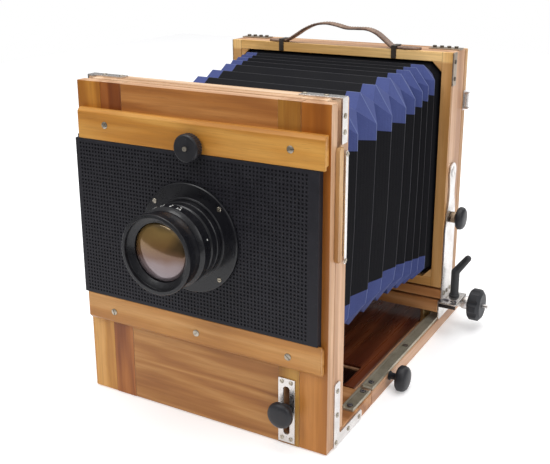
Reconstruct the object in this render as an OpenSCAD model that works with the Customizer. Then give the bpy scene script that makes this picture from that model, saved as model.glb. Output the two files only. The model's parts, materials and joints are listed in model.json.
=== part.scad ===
// Wooden tailboard view camera on a geared bed, lens towards -Y, back towards +Y.
// Millimetres, +Z up. Origin: mouth of the tripod socket in the underside of the bed.
// Inside each module Y counts from the face of the front panel; from_front() then
// moves the node so that the tripod socket is at the origin.

/* [Front standard] */
// Width of the front panel and bed
body_w = 291; // [260:1:320]
// Height of the front panel
panel_h = 350; // [320:1:380]
// Thickness of the front panel
panel_t = 12.6; // [10:0.1:16]
// Width of the outer stile boards of the front panel
stile_w = 30.5; // [24:0.5:36]
// Inner edge of the left accent strip, from the middle
left_strip_x = 89; // [80:1:100]
// Inner edge of the right accent strip, from the middle
right_strip_x = 91.5; // [80:0.5:100]
// Front face of the fixed frame behind the panel
frame_y = 18.8; // [17:0.1:22]
// Thickness of the fixed frame
frame_t = 16.7; // [14:0.1:20]
// Upward travel of the front panel
rise_travel = 24; // [10:1:30]

/* [Lens board] */
// Width of the sliding lens board
board_w = 283; // [260:1:290]
// Underside of the lens board
board_z0 = 119.4; // [110:0.2:130]
// Top of the lens board
board_z1 = 290.8; // [280:0.2:300]
// Sideways position of the lens axis
lens_x = -3.5; // [-5:0.5:5]
// Height of the lens axis
lens_z = 205; // [195:1:215]
// Projection of the clamp bars from the panel
bar_t = 8; // [6:0.5:10]

/* [Lens] */
// Radius of the lens flange
flange_r = 56.5; // [50:0.5:60]
// Radius of the front rim
rim_r = 39.8; // [38:0.1:42]
// Radius of the filter seat in the front rim
filter_r = 36; // [32:0.5:38]
// Distance from lens board to the front rim
lens_reach = 58; // [50:1:70]
// Radius of the visible front glass
glass_r = 29; // [24:0.5:32]

/* [Bed] */
// Thickness of the bed boards
bed_t = 15; // [12:0.5:18]
// Rear edge of the fixed front board of the bed
break_y = 110.5; // [100:0.5:120]
// Rear end of the hinged tailboard
bed_end_y = 413; // [400:1:440]
// Radius of the tripod thread
tripod_r = 4.76; // [3.1:0.01:4.8]
// Distance of the tripod socket behind the front panel
tripod_y = 70; // [60:1:80]

/* [Focus drive] */
// Gear module of rack and pinion
gear_m = 0.8; // [0.6:0.1:1.2]
// Number of pinion teeth
pinion_teeth = 32; // [20:1:36]
// Distance of the pinion shaft behind the front panel
pinion_y = 360; // [355:1:365]
// Height of the rack tooth tips
rack_top = 19; // [18:0.1:20]
// Radius of the lobed focusing knobs
focus_r = 21; // [17:0.5:23]

/* [Rear standard] */
// Half width of the rear standard
rear_x = 150.2; // [145:0.1:155]
// Front face of the rear standard
rear_y = 310.4; // [305:0.1:315]
// Depth of the rear standard
rear_d = 46.6; // [40:0.1:50]
// Underside of the rear standard
rear_z0 = 65.4; // [64:0.1:70]
// Top of the rear standard
rear_z1 = 359.1; // [350:0.1:370]
// Height of the tilt axis
tilt_z = 212.3; // [205:0.1:220]
// Distance of tilt and swing axes behind the front panel
axis_y = 330; // [325:1:335]

/* [Bellows] */
// Depth of a pleat
pleat_depth = 13; // [9:0.5:14]
// Width of the cut corner on the front ridges
cut_w = 20; // [16:1:24]
// Height of the cut corner on the front ridges
cut_h = 31; // [24:1:34]
// How far the left side of the pleats hangs back from the right side
pleat_skew = 6; // [0:0.5:8]

/* [Hidden] */
$fn = 64;
half_w = body_w / 2;
frame_back = frame_y + frame_t;
frame_top = 351.5;
stile_x = half_w - stile_w;
// opening behind the lens board
throat_x = 73;
throat_z0 = 152;
throat_z1 = 258;
// frame opening for the bellows
mouth_x = 108;
mouth_z0 = 72;
mouth_z1 = 315;
// lens tube, seat of the setting ring, and the ring itself
tube_r = 37.9;
seat_r = 36.2;
ring_r = 40.6;
// clamp bars
bar_x = 142;
top_bar_z1 = 323;
top_bar_z0 = 291;
low_bar_z0 = 88;
low_bar_z1 = 119.2;
tongue_h = 3.4;
tongue_y = 4;
play = 0.2;
screw_r = 3.6;
small_screw_r = 2.6;
head_t = 0.9;
// slot plate and rise stud
slot_x = 101.5;
slot_z0 = 12.4;
slot_z1 = 65.6;
slot_w = 7;
stud_r = 3.2;
rise_stud_z = slot_z0 + slot_w / 2 + rise_travel + 0.6;
// sliding fit
fit_gap = 0.05;
knob_r = 13;
clamp_knob_x = 2;
clamp_knob_z = 298;
bar_shift = 1.5;
// nickel fittings
plate_t = 1.6;
guide_y = 17;
keeper_t = 2.7;
keeper_y = 28.4;
keeper_z0 = 196.5;
keeper_z1 = 300;
// racks
rack_x0 = 129.5;
rack_x1 = 144;
tooth_x0 = 133;
tooth_x1 = 143.4;
tooth_pitch = PI * gear_m;
pitch_z = rack_top - gear_m;
root_z = pitch_z - 1.25 * gear_m;
pinion_r = gear_m * pinion_teeth / 2;
pinion_z = pitch_z + pinion_r;
shaft_r = 4;
knob_x = 176;
backlash = 0.14;
// carriage
car_x = 148;
car_z0 = 31.5;
car_z1 = 47.5;
car_y0 = rear_y;
car_y1 = 345;
rail_y0 = 376;
rail_y1 = 392;
car_plate_x = 150;
shelf_x1 = 172.5;
shelf_half = 21;
lever_x = 163;
lever_bend_z = 83;
lever_lean = 36;
lever_reach = 25;
swing_limit = 5;
swing_slot_w = 6.4;
// swing board and uprights
swing_z0 = 50;
swing_z1 = 62;
up_x0 = 150.8;
up_x1 = 152.8;
up_half = 18;
up_z0 = 48;
tilt_arm = 58;
tilt_limit = 7;
clamp_z = tilt_z - tilt_arm;
// rear standard opening
open_x = 137.7;
open_z0 = 77;
open_z1 = 348;
face_t = 6;
// ground glass back
door_y0 = rear_y + rear_d + 0.3;
door_t = 12;
view_x = 119;
view_z = 89;
hinge_z = [246, 322];
latch_z = 295.5;
// bed opening
gap_x = 109;
gap_y0 = 118;
gap_y1 = 158;
bed_panel_x = 123.5;
groove_x0 = 124;
groove_z = 12;
well_z = 9;
lock_y = 160;
lock_z = 13.6;
lock_stud_r = 2.4;

// ---------------------------------------------------------------- helpers

module from_front() {
  translate([0, -tripod_y, 0]) children();
}

module both_sides() {
  children();
  mirror([1, 0, 0]) children();
}

module block(x, y, z) {
  translate([x[0], y[0], z[0]]) cube([x[1] - x[0], y[1] - y[0], z[1] - z[0]]);
}

module rod_x(x, r, y, z) {
  translate([x[0], y, z]) rotate([0, 90, 0]) cylinder(h = x[1] - x[0], r = r);
}

module rod_y(y, r, x, z) {
  translate([x, y[1], z]) rotate([90, 0, 0]) cylinder(h = y[1] - y[0], r = r);
}

module rod_z(z, r, x, y) {
  translate([x, y, z[0]]) cylinder(h = z[1] - z[0], r = r);
}

// board of an outline in Y and Z, from x[0] to x[1]
module sheet_x(x) {
  translate([x[0], 0, 0]) rotate([90, 0, 90]) linear_extrude(x[1] - x[0]) children();
}

// board of an outline in X and Z, from y[0] to y[1]
module sheet_y(y) {
  translate([0, y[1], 0]) rotate([90, 0, 0]) linear_extrude(y[1] - y[0]) children();
}

// rectangular ring in X and Z
module ring_board(y, x_out, z_out, x_in, z_in) {
  difference() {
    block([-x_out, x_out], y, z_out);
    block([-x_in, x_in], [y[0] - 1, y[1] + 1], z_in);
  }
}

// slotted screw head, seated on z = 0 and facing up
module head(r, turn = 30) {
  rotate([0, 0, turn]) difference() {
    union() {
      cylinder(h = head_t * 0.6, r = r);
      translate([0, 0, head_t * 0.6]) cylinder(h = head_t * 0.4, r1 = r, r2 = r * 0.8);
    }
    translate([-r - 1, -0.45, head_t * 0.45]) cube([2 * r + 2, 0.9, head_t]);
  }
}

module head_front(x, z, y, r = screw_r, turn = 30) {
  translate([x, y, z]) rotate([90, 0, 0]) head(r, turn);
}

module head_side(y, z, x, r = small_screw_r, turn = 70) {
  translate([x, y, z]) rotate([0, 90, 0]) head(r, turn);
}

module head_top(x, y, z, r = small_screw_r, turn = 20) {
  translate([x, y, z]) head(r, turn);
}

// turned knob on the +X axis, seat at x = 0, with a running bore
module mushroom(neck_r, neck_l, cap_r, cap_l, bore_r, bore_l) {
  rotate([0, 90, 0]) rotate_extrude() polygon([
    [bore_r, 0], [neck_r + 1.4, 0], [neck_r + 1.4, 1.6], [neck_r, 2.4],
    [neck_r, neck_l * 0.8], [neck_r + 1, neck_l], [cap_r * 0.86, neck_l + 0.6],
    [cap_r, neck_l + 2.6], [cap_r, neck_l + cap_l * 0.5],
    [cap_r * 0.94, neck_l + cap_l * 0.72], [cap_r * 0.8, neck_l + cap_l * 0.87],
    [cap_r * 0.55, neck_l + cap_l * 0.96], [0, neck_l + cap_l],
    [0, bore_l], [bore_r, bore_l]
  ]);
}

// ------------------------------------------------------------- front panel

module panel_board(x, z = [1, panel_h]) {
  block(x, [0, panel_t], z);
}

module slot_window(grow) {
  w = slot_w / 2 + grow;
  for (z = [slot_z0 + slot_w / 2, slot_z1 - slot_w / 2])
    rod_y([-5, panel_t + 1], w, slot_x, z);
  block([slot_x - w, slot_x + w], [-5, panel_t + 1],
        [slot_z0 + slot_w / 2, slot_z1 - slot_w / 2]);
}

module panel_stiles() {
  color([0.80, 0.58, 0.36]) from_front() {
    panel_board([-half_w, -stile_x]);
    panel_board([stile_x, half_w]);
    both_sides() {
      block([126.4, 134], [panel_t, frame_y - 0.4], [30, panel_h - 30]);
      block([120.4, 126.4], [panel_t + 3.6, frame_y - 0.4], [30, panel_h - 30]);
    }
  }
}

module panel_strips() {
  color([0.55, 0.32, 0.18]) from_front() {
    panel_board([-stile_x, -left_strip_x]);
    difference() {
      panel_board([right_strip_x, stile_x]);
      slot_window(0.5);
    }
  }
}

module panel_centre() {
  color([0.66, 0.42, 0.22]) from_front() difference() {
    panel_board([-left_strip_x, right_strip_x]);
    block([-throat_x, throat_x], [-1, panel_t + 1], [throat_z0, throat_z1]);
  }
}

module slot_plate() {
  color([0.80, 0.80, 0.78]) from_front() difference() {
    block([slot_x - 9.2, slot_x + 9.2], [-plate_t, 0], [3.5, 74]);
    slot_window(0);
  }
}

module bar_outline(z0, z1, rebate_z0) {
  difference() {
    polygon([[0, z0], [-bar_t, z0], [-bar_t, z1 - 3.5], [-bar_t + 3, z1], [0, z1]]);
    translate([-tongue_y - play, rebate_z0]) square([tongue_y + play + 1, tongue_h + play]);
  }
}

module clamp_bars() {
  color([0.83, 0.58, 0.28]) from_front() {
    translate([bar_shift, 0, 0])
      sheet_x([-bar_x, bar_x]) bar_outline(top_bar_z0, top_bar_z1, top_bar_z0 - 0.01);
    sheet_x([-bar_x, bar_x]) translate([0, low_bar_z0 + low_bar_z1]) mirror([0, 1])
      bar_outline(low_bar_z0, low_bar_z1, low_bar_z0 - 0.01);
  }
}

module panel_screws() {
  color([0.78, 0.72, 0.55]) from_front() {
    head_front(bar_shift - 106.5, 307.5, -bar_t, screw_r, 50);
    head_front(bar_shift + 107.3, 307.5, -bar_t, screw_r, 15);
    for (x = [-106.5, 0, 106.5]) head_front(x, 102, -bar_t, screw_r, 35 + x);
    for (x = [-5, 5], z = [8, 70.5])
      head_front(slot_x + x, z, -plate_t, 2.2, 20 * x + z);
    rod_y([-bar_t - 13.4, -bar_t], 2.4, clamp_knob_x, clamp_knob_z);
  }
}

module clamp_knob() {
  color([0.06, 0.06, 0.07]) from_front() translate([clamp_knob_x, -bar_t - 0.1, clamp_knob_z])
    rotate([90, 0, 0]) difference() {
      union() {
        cylinder(h = 3.4, r = 7);
        translate([0, 0, 3.4]) cylinder(h = 7.4, r = 14);
        translate([0, 0, 10.8]) cylinder(h = 1.2, r1 = 14, r2 = 12.4);
      }
      translate([0, 0, -1]) cylinder(h = 16, r = 2.4 + fit_gap);
      for (i = [0:29]) rotate([0, 0, i * 12]) translate([14.5, 0, 3])
        cylinder(h = 10, r = 0.95, $fn = 16);
    }
}

module rise_stud() {
  color([0.75, 0.75, 0.73]) from_front() {
    rod_y([-12, frame_y], stud_r, slot_x, rise_stud_z);
  }
}

module rise_knob() {
  color([0.06, 0.06, 0.07]) from_front()
    translate([slot_x, -plate_t - head_t - 0.3, rise_stud_z]) rotate([0, 0, -90])
      mushroom(6, 7.5, knob_r + 0.6, 9.5, stud_r + fit_gap, 11);
}

// -------------------------------------------------------------- lens board

module lens_board() {
  color([0.10, 0.10, 0.11]) from_front() difference() {
    union() {
      block([lens_x - board_w / 2, lens_x + board_w / 2], [-bar_t, -play],
            [board_z0, board_z1]);
      block([lens_x - board_w / 2, lens_x + board_w / 2], [-tongue_y, -play],
            [board_z0 - tongue_h + 0.2, board_z1 + tongue_h - 0.2]);
    }
    rod_y([-bar_t - 1, 1], 45.1, lens_x, lens_z);
  }
}

module at_lens() {
  from_front() translate([lens_x, -bar_t, lens_z]) rotate([90, 0, 0]) children();
}

module lens_flange() {
  color([0.05, 0.05, 0.06]) at_lens() rotate_extrude() polygon([
    [tube_r + 0.1, -7], [41, -7], [41, 0], [flange_r, 0], [flange_r, 2.6],
    [flange_r - 1, 3.4], [42, 3.4], [41.4, 4], [41.4, 5], [tube_r + 0.1, 5]
  ]);
}

module lens_screws() {
  color([0.76, 0.68, 0.45]) at_lens()
    for (a = [44, 140, 227, 314]) rotate([0, 0, a]) translate([flange_r - 5.2, 0, 3.4])
      head(2.4, a * 0.7);
}

module lens_barrel() {
  color([0.04, 0.04, 0.05]) at_lens() rotate_extrude() polygon([
    [33, -16], [35, -16], [tube_r, -12], [tube_r, 5.1], [39.4, 5.1], [39.4, 10], [38.6, 11],
    [38.6, 18], [37.2, 19], [37.2, 24], [seat_r, 24], [seat_r, 38.4],
    [35.4, 38.4], [35.4, 46], [34.4, 47], [31, 47], [31, 44], [33, 42]
  ]);
}

module aperture_ring() {
  color([0.05, 0.05, 0.06]) at_lens() difference() {
    rotate_extrude() polygon([
      [seat_r + fit_gap, 24.2], [ring_r - 0.8, 24.2], [ring_r, 25], [ring_r, 34],
      [ring_r - 1.6, 36], [seat_r + fit_gap, 38.2]
    ]);
    for (i = [0:59]) rotate([0, 0, i * 6]) translate([ring_r + 0.5, 0, 24])
      cylinder(h = 4, r = 0.9, $fn = 12);
  }
}

module lens_rim() {
  color([0.04, 0.04, 0.05]) at_lens() rotate_extrude() polygon([
    [35.4, 38.6], [38, 38.6], [38, 41], [37, 43], [37, 50], [rim_r, 52],
    [rim_r, lens_reach - 0.6], [rim_r - 0.6, lens_reach], [filter_r, lens_reach],
    [filter_r, lens_reach - 4], [34.5, lens_reach - 4.4], [glass_r + 0.6, 50.5],
    [glass_r + 0.6, 48.5], [31, 47.1], [34.4, 47.1], [35.4, 46.1]
  ]);
}

// glass element turned about the lens axis
module element(r, z0, z1, sag0, sag1) {
  rotate_extrude() polygon(concat(
    [for (i = [0:6]) [r * i / 6, z0 - sag0 * (1 - pow(i / 6, 2))]],
    [for (i = [6:-1:0]) [r * i / 6, z1 + sag1 * (1 - pow(i / 6, 2))]]
  ));
}

module lens_glass() {
  color([0.55, 0.42, 0.20, 0.6]) at_lens() {
    element(glass_r + 0.5, 47.2, 48.4, 0, 3.5);
    element(30.5, 30, 33, -1, -1.5);
    element(29, -8, -4, 4, 0);
  }
}

module iris_blades() {
  color([0.12, 0.12, 0.13]) at_lens() {
    difference() {
      translate([0, 0, 16]) cylinder(h = 1, r = 32.9);
      translate([0, 0, 15]) cylinder(h = 3, r = 20, $fn = 12);
    }
    difference() {
      translate([0, 0, 15]) cylinder(h = 1, r = 32.9);
      translate([0, 0, 14]) cylinder(h = 3, r = 24, $fn = 12);
    }
  }
}

// ------------------------------------------------------- fixed front frame

module front_frame() {
  color([0.82, 0.60, 0.38]) from_front() {
    ring_board([frame_y, frame_back], half_w, [bed_t, frame_top],
               mouth_x, [mouth_z0, mouth_z1]);
    both_sides() {
      block([112, 120], [panel_t + 3.4, frame_y], [26, panel_h - 26]);
      block([112, 126.2], [panel_t + 0.4, panel_t + 3.4], [26, panel_h - 26]);
      block([half_w - 10, half_w], [panel_t + 0.3, frame_y], [0.6, 300]);
    }
    block([10 - half_w, half_w - 10], [panel_t + 0.3, frame_y], [345, frame_top - 0.6]);
  }
}

module side_guides() {
  color([0.78, 0.52, 0.28]) from_front() both_sides() {
    sheet_x([half_w + play, half_w + 4.4]) polygon([
      [10.2, 200], [guide_y, 200], [guide_y, 309], [10.2, 309], [8.4, 306], [8.4, 203]
    ]);
    block([half_w, half_w + 0.8], [guide_y - 2, guide_y + 7.8], [202, 307]);
  }
}

module keeper_bars() {
  color([0.82, 0.81, 0.78]) from_front() both_sides() {
    sheet_x([half_w, half_w + keeper_t]) {
      for (z = [keeper_z0, keeper_z1]) translate([keeper_y, z]) circle(r = 3.3);
      translate([keeper_y - 2.6, keeper_z0]) square([5.2, keeper_z1 - keeper_z0]);
    }
  }
}

module corner_leaf_pair(x, y0, y1, z0, z1, reach) {
  block([x, x + plate_t], [y0, y1], [z0, z1 + plate_t]);
  block([x - reach, x], [y0, y1], [z1, z1 + plate_t]);
}

module front_corner_plates() {
  color([0.80, 0.80, 0.78]) from_front() both_sides()
    corner_leaf_pair(half_w, frame_y, frame_y + 11.5, 310.5, frame_top, 43);
}

module base_angle_plates() {
  color([0.82, 0.82, 0.80]) from_front() both_sides() {
    sheet_x([half_w, half_w + plate_t]) polygon([
      [14, 0.8], [78, 0.8], [81, 3.6], [81, 10], [78.5, 12.5], [28, 12.5], [26, 14.5],
      [26, 70], [24, 72], [16, 72], [14, 70]
    ]);
    rod_x([half_w, half_w + 18], lock_stud_r, lock_y, lock_z);
  }
}

// -------------------------------------------------------------------- bed

module base_board() {
  color([0.80, 0.58, 0.38]) from_front() difference() {
    block([-half_w, half_w], [frame_y, break_y], [0, bed_t]);
    rod_z([-1, 13], 9, 0, tripod_y);
  }
}

module tripod_bush() {
  color([0.78, 0.66, 0.38]) from_front() difference() {
    rod_z([0, 13], 9, 0, tripod_y);
    rod_z([-1, 11], tripod_r, 0, tripod_y);
  }
}

module tailboard() {
  color([0.80, 0.58, 0.40]) from_front() difference() {
    block([-half_w, half_w], [break_y + 0.8, bed_end_y], [0, bed_t]);
    block([-bed_panel_x, bed_panel_x], [break_y, bed_end_y - 14], [groove_z, bed_t + 1]);
    both_sides() block([groove_x0 - 0.6, tooth_x0], [break_y, bed_end_y + 1],
                       [groove_z, bed_t + 1]);
    block([-gap_x, gap_x], [gap_y0, gap_y1], [well_z, bed_t + 1]);
  }
}

module bed_panel() {
  color([0.30, 0.14, 0.09]) from_front() {
    difference() {
      block([-bed_panel_x, bed_panel_x], [break_y + 1.4, bed_end_y - 14], [groove_z, bed_t]);
      block([-gap_x - 2, gap_x + 2], [gap_y0 - 2, gap_y1 + 2], [groove_z - 1, bed_t + 1]);
    }
    block([-gap_x, gap_x], [gap_y0, gap_y1], [well_z, well_z + 1]);
  }
}

module tail_hinges() {
  color([0.80, 0.72, 0.48]) from_front() both_sides() {
    difference() {
      block([60, 92], [break_y - 13, break_y + 13], [bed_t, bed_t + 0.9]);
      block([59, 93], [break_y - 2.4, break_y + 3.2], [bed_t - 1, bed_t + 2]);
    }
    rod_x([60, 92], 2.3, break_y + 0.4, bed_t + 2.3);
  }
}

// one toothed strip from y0 to y1, teeth in step with the pinion
module rack_strip(y0, y1) {
  n0 = ceil((y0 - pinion_y) / tooth_pitch - 0.5) + 1;
  n1 = floor((y1 - pinion_y) / tooth_pitch - 0.5) - 1;
  slope = tan(20);
  half_t = tooth_pitch / 4 - backlash / 4;
  tip = half_t - gear_m * slope;
  foot = half_t + 1.25 * gear_m * slope;
  sheet_x([tooth_x0, tooth_x1]) polygon(concat(
    [[y0, bed_t], [y0, root_z]],
    [for (i = [n0:n1], k = [0:3])
      let (c = pinion_y + (i + 0.5) * tooth_pitch)
      [c + [-foot, -tip, tip, foot][k], [root_z, rack_top, rack_top, root_z][k]]],
    [[y1, root_z], [y1, bed_t]]
  ));
  sheet_y([y0, y1]) polygon([
    [tooth_x0, bed_t], [tooth_x0, rack_top], [tooth_x0 - 1.4, rack_top],
    [rack_x0, rack_top - 1.6], [rack_x0, bed_t]
  ]);
  block([tooth_x1, rack_x1], [y0, y1], [bed_t, rack_top]);
}

module racks() {
  color([0.62, 0.58, 0.48]) from_front() both_sides() {
    rack_strip(frame_back + 29.5, break_y);
    rack_strip(break_y + 5, bed_end_y - 4);
  }
}

module base_screws() {
  color([0.72, 0.70, 0.64]) from_front() both_sides() {
    for (p = [[20, 62.7], [20, 36.3], [18.6, 5.8], [47.3, 6.7], [74, 6.6]])
      head_side(p[0], p[1], half_w + plate_t);
    for (z = [321, 336]) head_side(frame_y + 5.6, z, half_w + plate_t);
    for (x = [106, 128]) head_top(x, frame_y + 5.6, frame_top + plate_t);
    for (z = [keeper_z0, keeper_z1]) head_side(keeper_y, z, half_w + keeper_t, 2.4, 40);
    for (x = [66, 86], y = [-8.5, 8.5]) head_top(x, break_y + y, bed_t + 0.9, 2.2);
  }
}

// tool for the two bed locks
module lock_knob() {
  from_front() translate([half_w + play, lock_y, lock_z])
    mushroom(3.8, 10, knob_r + 1.6, 13.6, lock_stud_r + fit_gap, 18.4);
}

module lock_knob_right() {
  color([0.06, 0.06, 0.07]) lock_knob();
}

module lock_knob_left() {
  color([0.06, 0.06, 0.07]) mirror([1, 0, 0]) lock_knob();
}

// ---------------------------------------------------------------- bellows

bel_y0 = frame_back + 4;
bel_y1 = rear_y + face_t;
bel_wall = 1.2;
// distance of each ridge behind the front panel, closing up towards the back
ridge_y = [72, 115, 156, 191, 225, 247, 265, 280, 296];
ridges = len(ridge_y);
lean = 7;

function along(y, a, b) = a + (b - a) * (y - bel_y0) / (bel_y1 - bel_y0);
function share(y, a, b) = max(0, min(1, (y - a) / (b - a)));
function skew_at(y) = pleat_skew * share(y, bel_y0, 120) * (1 - share(y, 230, bel_y1));

// station i: distance back, inset, cut width, cut height
function station(i) =
  i == 0 ? [bel_y0, 5, 6, 8] :
  i == 2 * ridges + 1 ? [bel_y1, 0, 14, 14] :
  i == 2 * ridges ? [(ridge_y[ridges - 1] + bel_y1) / 2, 8, 4, 4] :
  i % 2 == 0 ? [(ridge_y[i / 2 - 1] + ridge_y[i / 2]) / 2, pleat_depth, 1, 1] :
  let (y = ridge_y[(i - 1) / 2], k = share(y, 225, bel_y1))
    [y, 0, cut_w - 7 * k, cut_h - 18 * k];

// one outline of the pleated tube: 8 points at station i, inset by d
function bel_ring(i, d) =
  let (st = station(i),
       y = st[0],
       s = d + st[1],
       w = st[2],
       h = st[3],
       q = skew_at(y),
       x = along(y, 116.5, 137) - s,
       xl = x - lean * share(y, bel_y0, 120) * (1 - share(y, 240, bel_y1)),
       zt = along(y, 324.5, 347) - s,
       zb = along(y, 62, 78) + s)
  [[-x + w, y + q, zt], [x - w, y - q, zt], [x, y - q, zt - h], [xl, y - q, zb + h],
   [xl - w, y - q, zb], [-xl + w, y + q, zb], [-xl, y + q, zb + h], [-x, y + q, zt - h]];

module bellows() {
  n = 2 * ridges + 2;
  outer = [for (i = [0:n - 1]) each bel_ring(i, 0)];
  inner = [for (i = [0:n - 1]) each bel_ring(i, bel_wall)];
  m = 8 * n;
  skin = [for (i = [0:n - 2], k = [0:7]) let (a = 8 * i + k, b = 8 * i + (k + 1) % 8)
    each [[a, b, b + 8], [a, b + 8, a + 8]]];
  lining = [for (i = [0:n - 2], k = [0:7])
    let (a = m + 8 * i + k, b = m + 8 * i + (k + 1) % 8)
    each [[a, b + 8, b], [a, a + 8, b + 8]]];
  front_lip = [for (k = [0:7]) let (b = (k + 1) % 8) each [[k, m + k, m + b], [k, m + b, b]]];
  e = 8 * (n - 1);
  back_lip = [for (k = [0:7]) let (b = (k + 1) % 8)
    each [[e + k, e + b, m + e + b], [e + k, m + e + b, m + e + k]]];
  color([0.12, 0.12, 0.14]) from_front()
    polyhedron(points = concat(outer, inner),
               faces = concat(skin, lining, front_lip, back_lip));
}

module bellows_front_frame() {
  color([0.08, 0.08, 0.09]) from_front()
    ring_board([frame_back, bel_y0], 124, [56, 330], 104, [75, 311]);
}

// ---------------------------------------------------------- focus carriage

module carriage_board() {
  color([0.76, 0.54, 0.36]) from_front() {
    block([-car_x, car_x], [car_y0, car_y1], [car_z0, car_z1]);
    block([-car_x, car_x], [rail_y0, rail_y1], [car_z0, car_z1]);
  }
}

module shelf_slot(r, x0) {
  translate([0, axis_y, car_z1 - 5]) {
    rotate([0, 0, -swing_limit - 0.3]) rotate_extrude(angle = 2 * swing_limit + 0.6)
      translate([lever_x - r, 0]) square([2 * r, 8]);
    for (a = [-1, 1]) rotate([0, 0, a * (swing_limit + 0.3)]) translate([lever_x, 0, 0])
      cylinder(h = 8, r = r);
  }
}

module carriage_plates() {
  color([0.84, 0.83, 0.81]) from_front() both_sides() difference() {
    union() {
      sheet_x([car_x, car_plate_x]) polygon([
        [car_y0 + 0.6, car_z1], [rail_y1, car_z1], [rail_y1, car_z0 + 2], [386, 21.5],
        [car_y0 + 3, 21.5], [car_y0 + 0.6, 24]
      ]);
      block([car_plate_x, shelf_x1], [axis_y - shelf_half, axis_y + shelf_half],
            [car_z1 - 2, car_z1]);
      block([car_plate_x, shelf_x1 - 1], [axis_y - shelf_half - 1.4, axis_y - shelf_half + 1.2],
            [car_z1 - 6.6, car_z1]);
      rod_x([car_plate_x, 164], 7, pinion_y, pinion_z);
    }
    rod_x([car_x - 1, 165], shaft_r + fit_gap, pinion_y, pinion_z);
    shelf_slot(swing_slot_w / 2, 0);
  }
}

module carriage_gibs() {
  color([0.76, 0.64, 0.36]) from_front() both_sides() {
    for (y = [[314, 342], [rail_y0 + 1, rail_y1 - 1]]) {
      block([125, rack_x0 - 0.3], y, [groove_z + 0.3, car_z0]);
      block([rack_x0 - 0.3, tooth_x0 - 0.5], y, [groove_z + 0.3, bed_t - 0.3]);
    }
  }
}

module turntable_plate() {
  color([0.80, 0.79, 0.76]) from_front() {
    rod_z([car_z1, swing_z0], 14, 0, axis_y);
    rod_z([swing_z0, swing_z1 + 1.6], 5, 0, axis_y);
    both_sides() block([104, 134], [318, 342], [car_z1, swing_z0]);
  }
}

module carriage_screws() {
  color([0.70, 0.68, 0.63]) from_front() both_sides() {
    for (p = [[322, 40], [337, 33], [382, 40]]) head_side(p[0], p[1], car_plate_x, 2.6, 25);
    for (x = [112, 126]) head_top(x, 382, car_z1, 2.6);
  }
}

// ------------------------------------------------------------ focus drive

function inv(a) = tan(a) * 180 / PI - a;
base_r = pinion_r * cos(20);
tip_r = pinion_r + gear_m;
foot_r = pinion_r - 1.25 * gear_m;
function tooth_half(r) =
  90 / pinion_teeth - backlash / 4 * 180 / PI / pinion_r + inv(20) - inv(acos(base_r / r));
function polar(r, a) = [r * cos(a), r * sin(a)];

module pinion_outline() {
  rs = [base_r + 0.01, pinion_r, tip_r];
  polygon([for (i = [0:pinion_teeth - 1]) let (c = 360 / pinion_teeth * i) each concat(
    [polar(foot_r, c - tooth_half(rs[0]) - 0.2)],
    [for (r = rs) polar(r, c - tooth_half(r))],
    [for (k = [2:-1:0]) polar(rs[k], c + tooth_half(rs[k]))],
    [polar(foot_r, c + tooth_half(rs[0]) + 0.2)]
  )]);
}

module pinions() {
  color([0.78, 0.66, 0.38]) from_front() both_sides()
    translate([134, pinion_y, pinion_z]) rotate([0, 90, 0]) difference() {
      union() {
        linear_extrude(8.6) pinion_outline();
        translate([0, 0, -5]) cylinder(h = 5, r = 8);
      }
      translate([0, 0, -6]) cylinder(h = 16, r = shaft_r);
    }
}

module pinion_shaft() {
  color([0.70, 0.70, 0.70]) from_front() {
    rod_x([-knob_x, knob_x], shaft_r, pinion_y, pinion_z);
    both_sides() {
      difference() {
        rod_x([165, knob_x], 8, pinion_y, pinion_z);
        rod_x([164, knob_x + 1], shaft_r, pinion_y, pinion_z);
      }
      rod_x([knob_x + 16, knob_x + 23], 2.6, pinion_y, pinion_z);
    }
  }
}

module focus_knobs() {
  color([0.07, 0.07, 0.08]) from_front() both_sides()
    translate([knob_x, pinion_y, pinion_z]) rotate([0, 90, 0]) difference() {
      union() {
        cylinder(h = 3, r1 = focus_r - 3, r2 = focus_r);
        translate([0, 0, 3]) cylinder(h = 9, r = focus_r);
        translate([0, 0, 12]) cylinder(h = 4, r1 = focus_r, r2 = focus_r - 5);
      }
      for (i = [0:7]) rotate([0, 0, i * 45 + 20]) translate([focus_r + 5, 0, -1])
        cylinder(h = 20, r = 7, $fn = 32);
    }
}

// -------------------------------------------------------------- swing body

module swing_board() {
  color([0.70, 0.46, 0.28]) from_front() difference() {
    block([-up_x0, up_x0], [axis_y - 18, axis_y + 20], [swing_z0, swing_z1]);
    rod_z([swing_z0 - 1, swing_z1 + 1], 5 + fit_gap, 0, axis_y);
  }
}

module tilt_slot() {
  translate([up_x0 - 1, axis_y, tilt_z]) rotate([0, 90, 0]) {
    rotate([0, 0, -tilt_limit - 0.3]) rotate_extrude(angle = 2 * tilt_limit + 0.6)
      translate([tilt_arm - 3.2, 0]) square([6.4, 4]);
    for (a = [-1, 1]) rotate([0, 0, a * (tilt_limit + 0.3)]) translate([tilt_arm, 0, 0])
      cylinder(h = 4, r = 3.2);
  }
}

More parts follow.
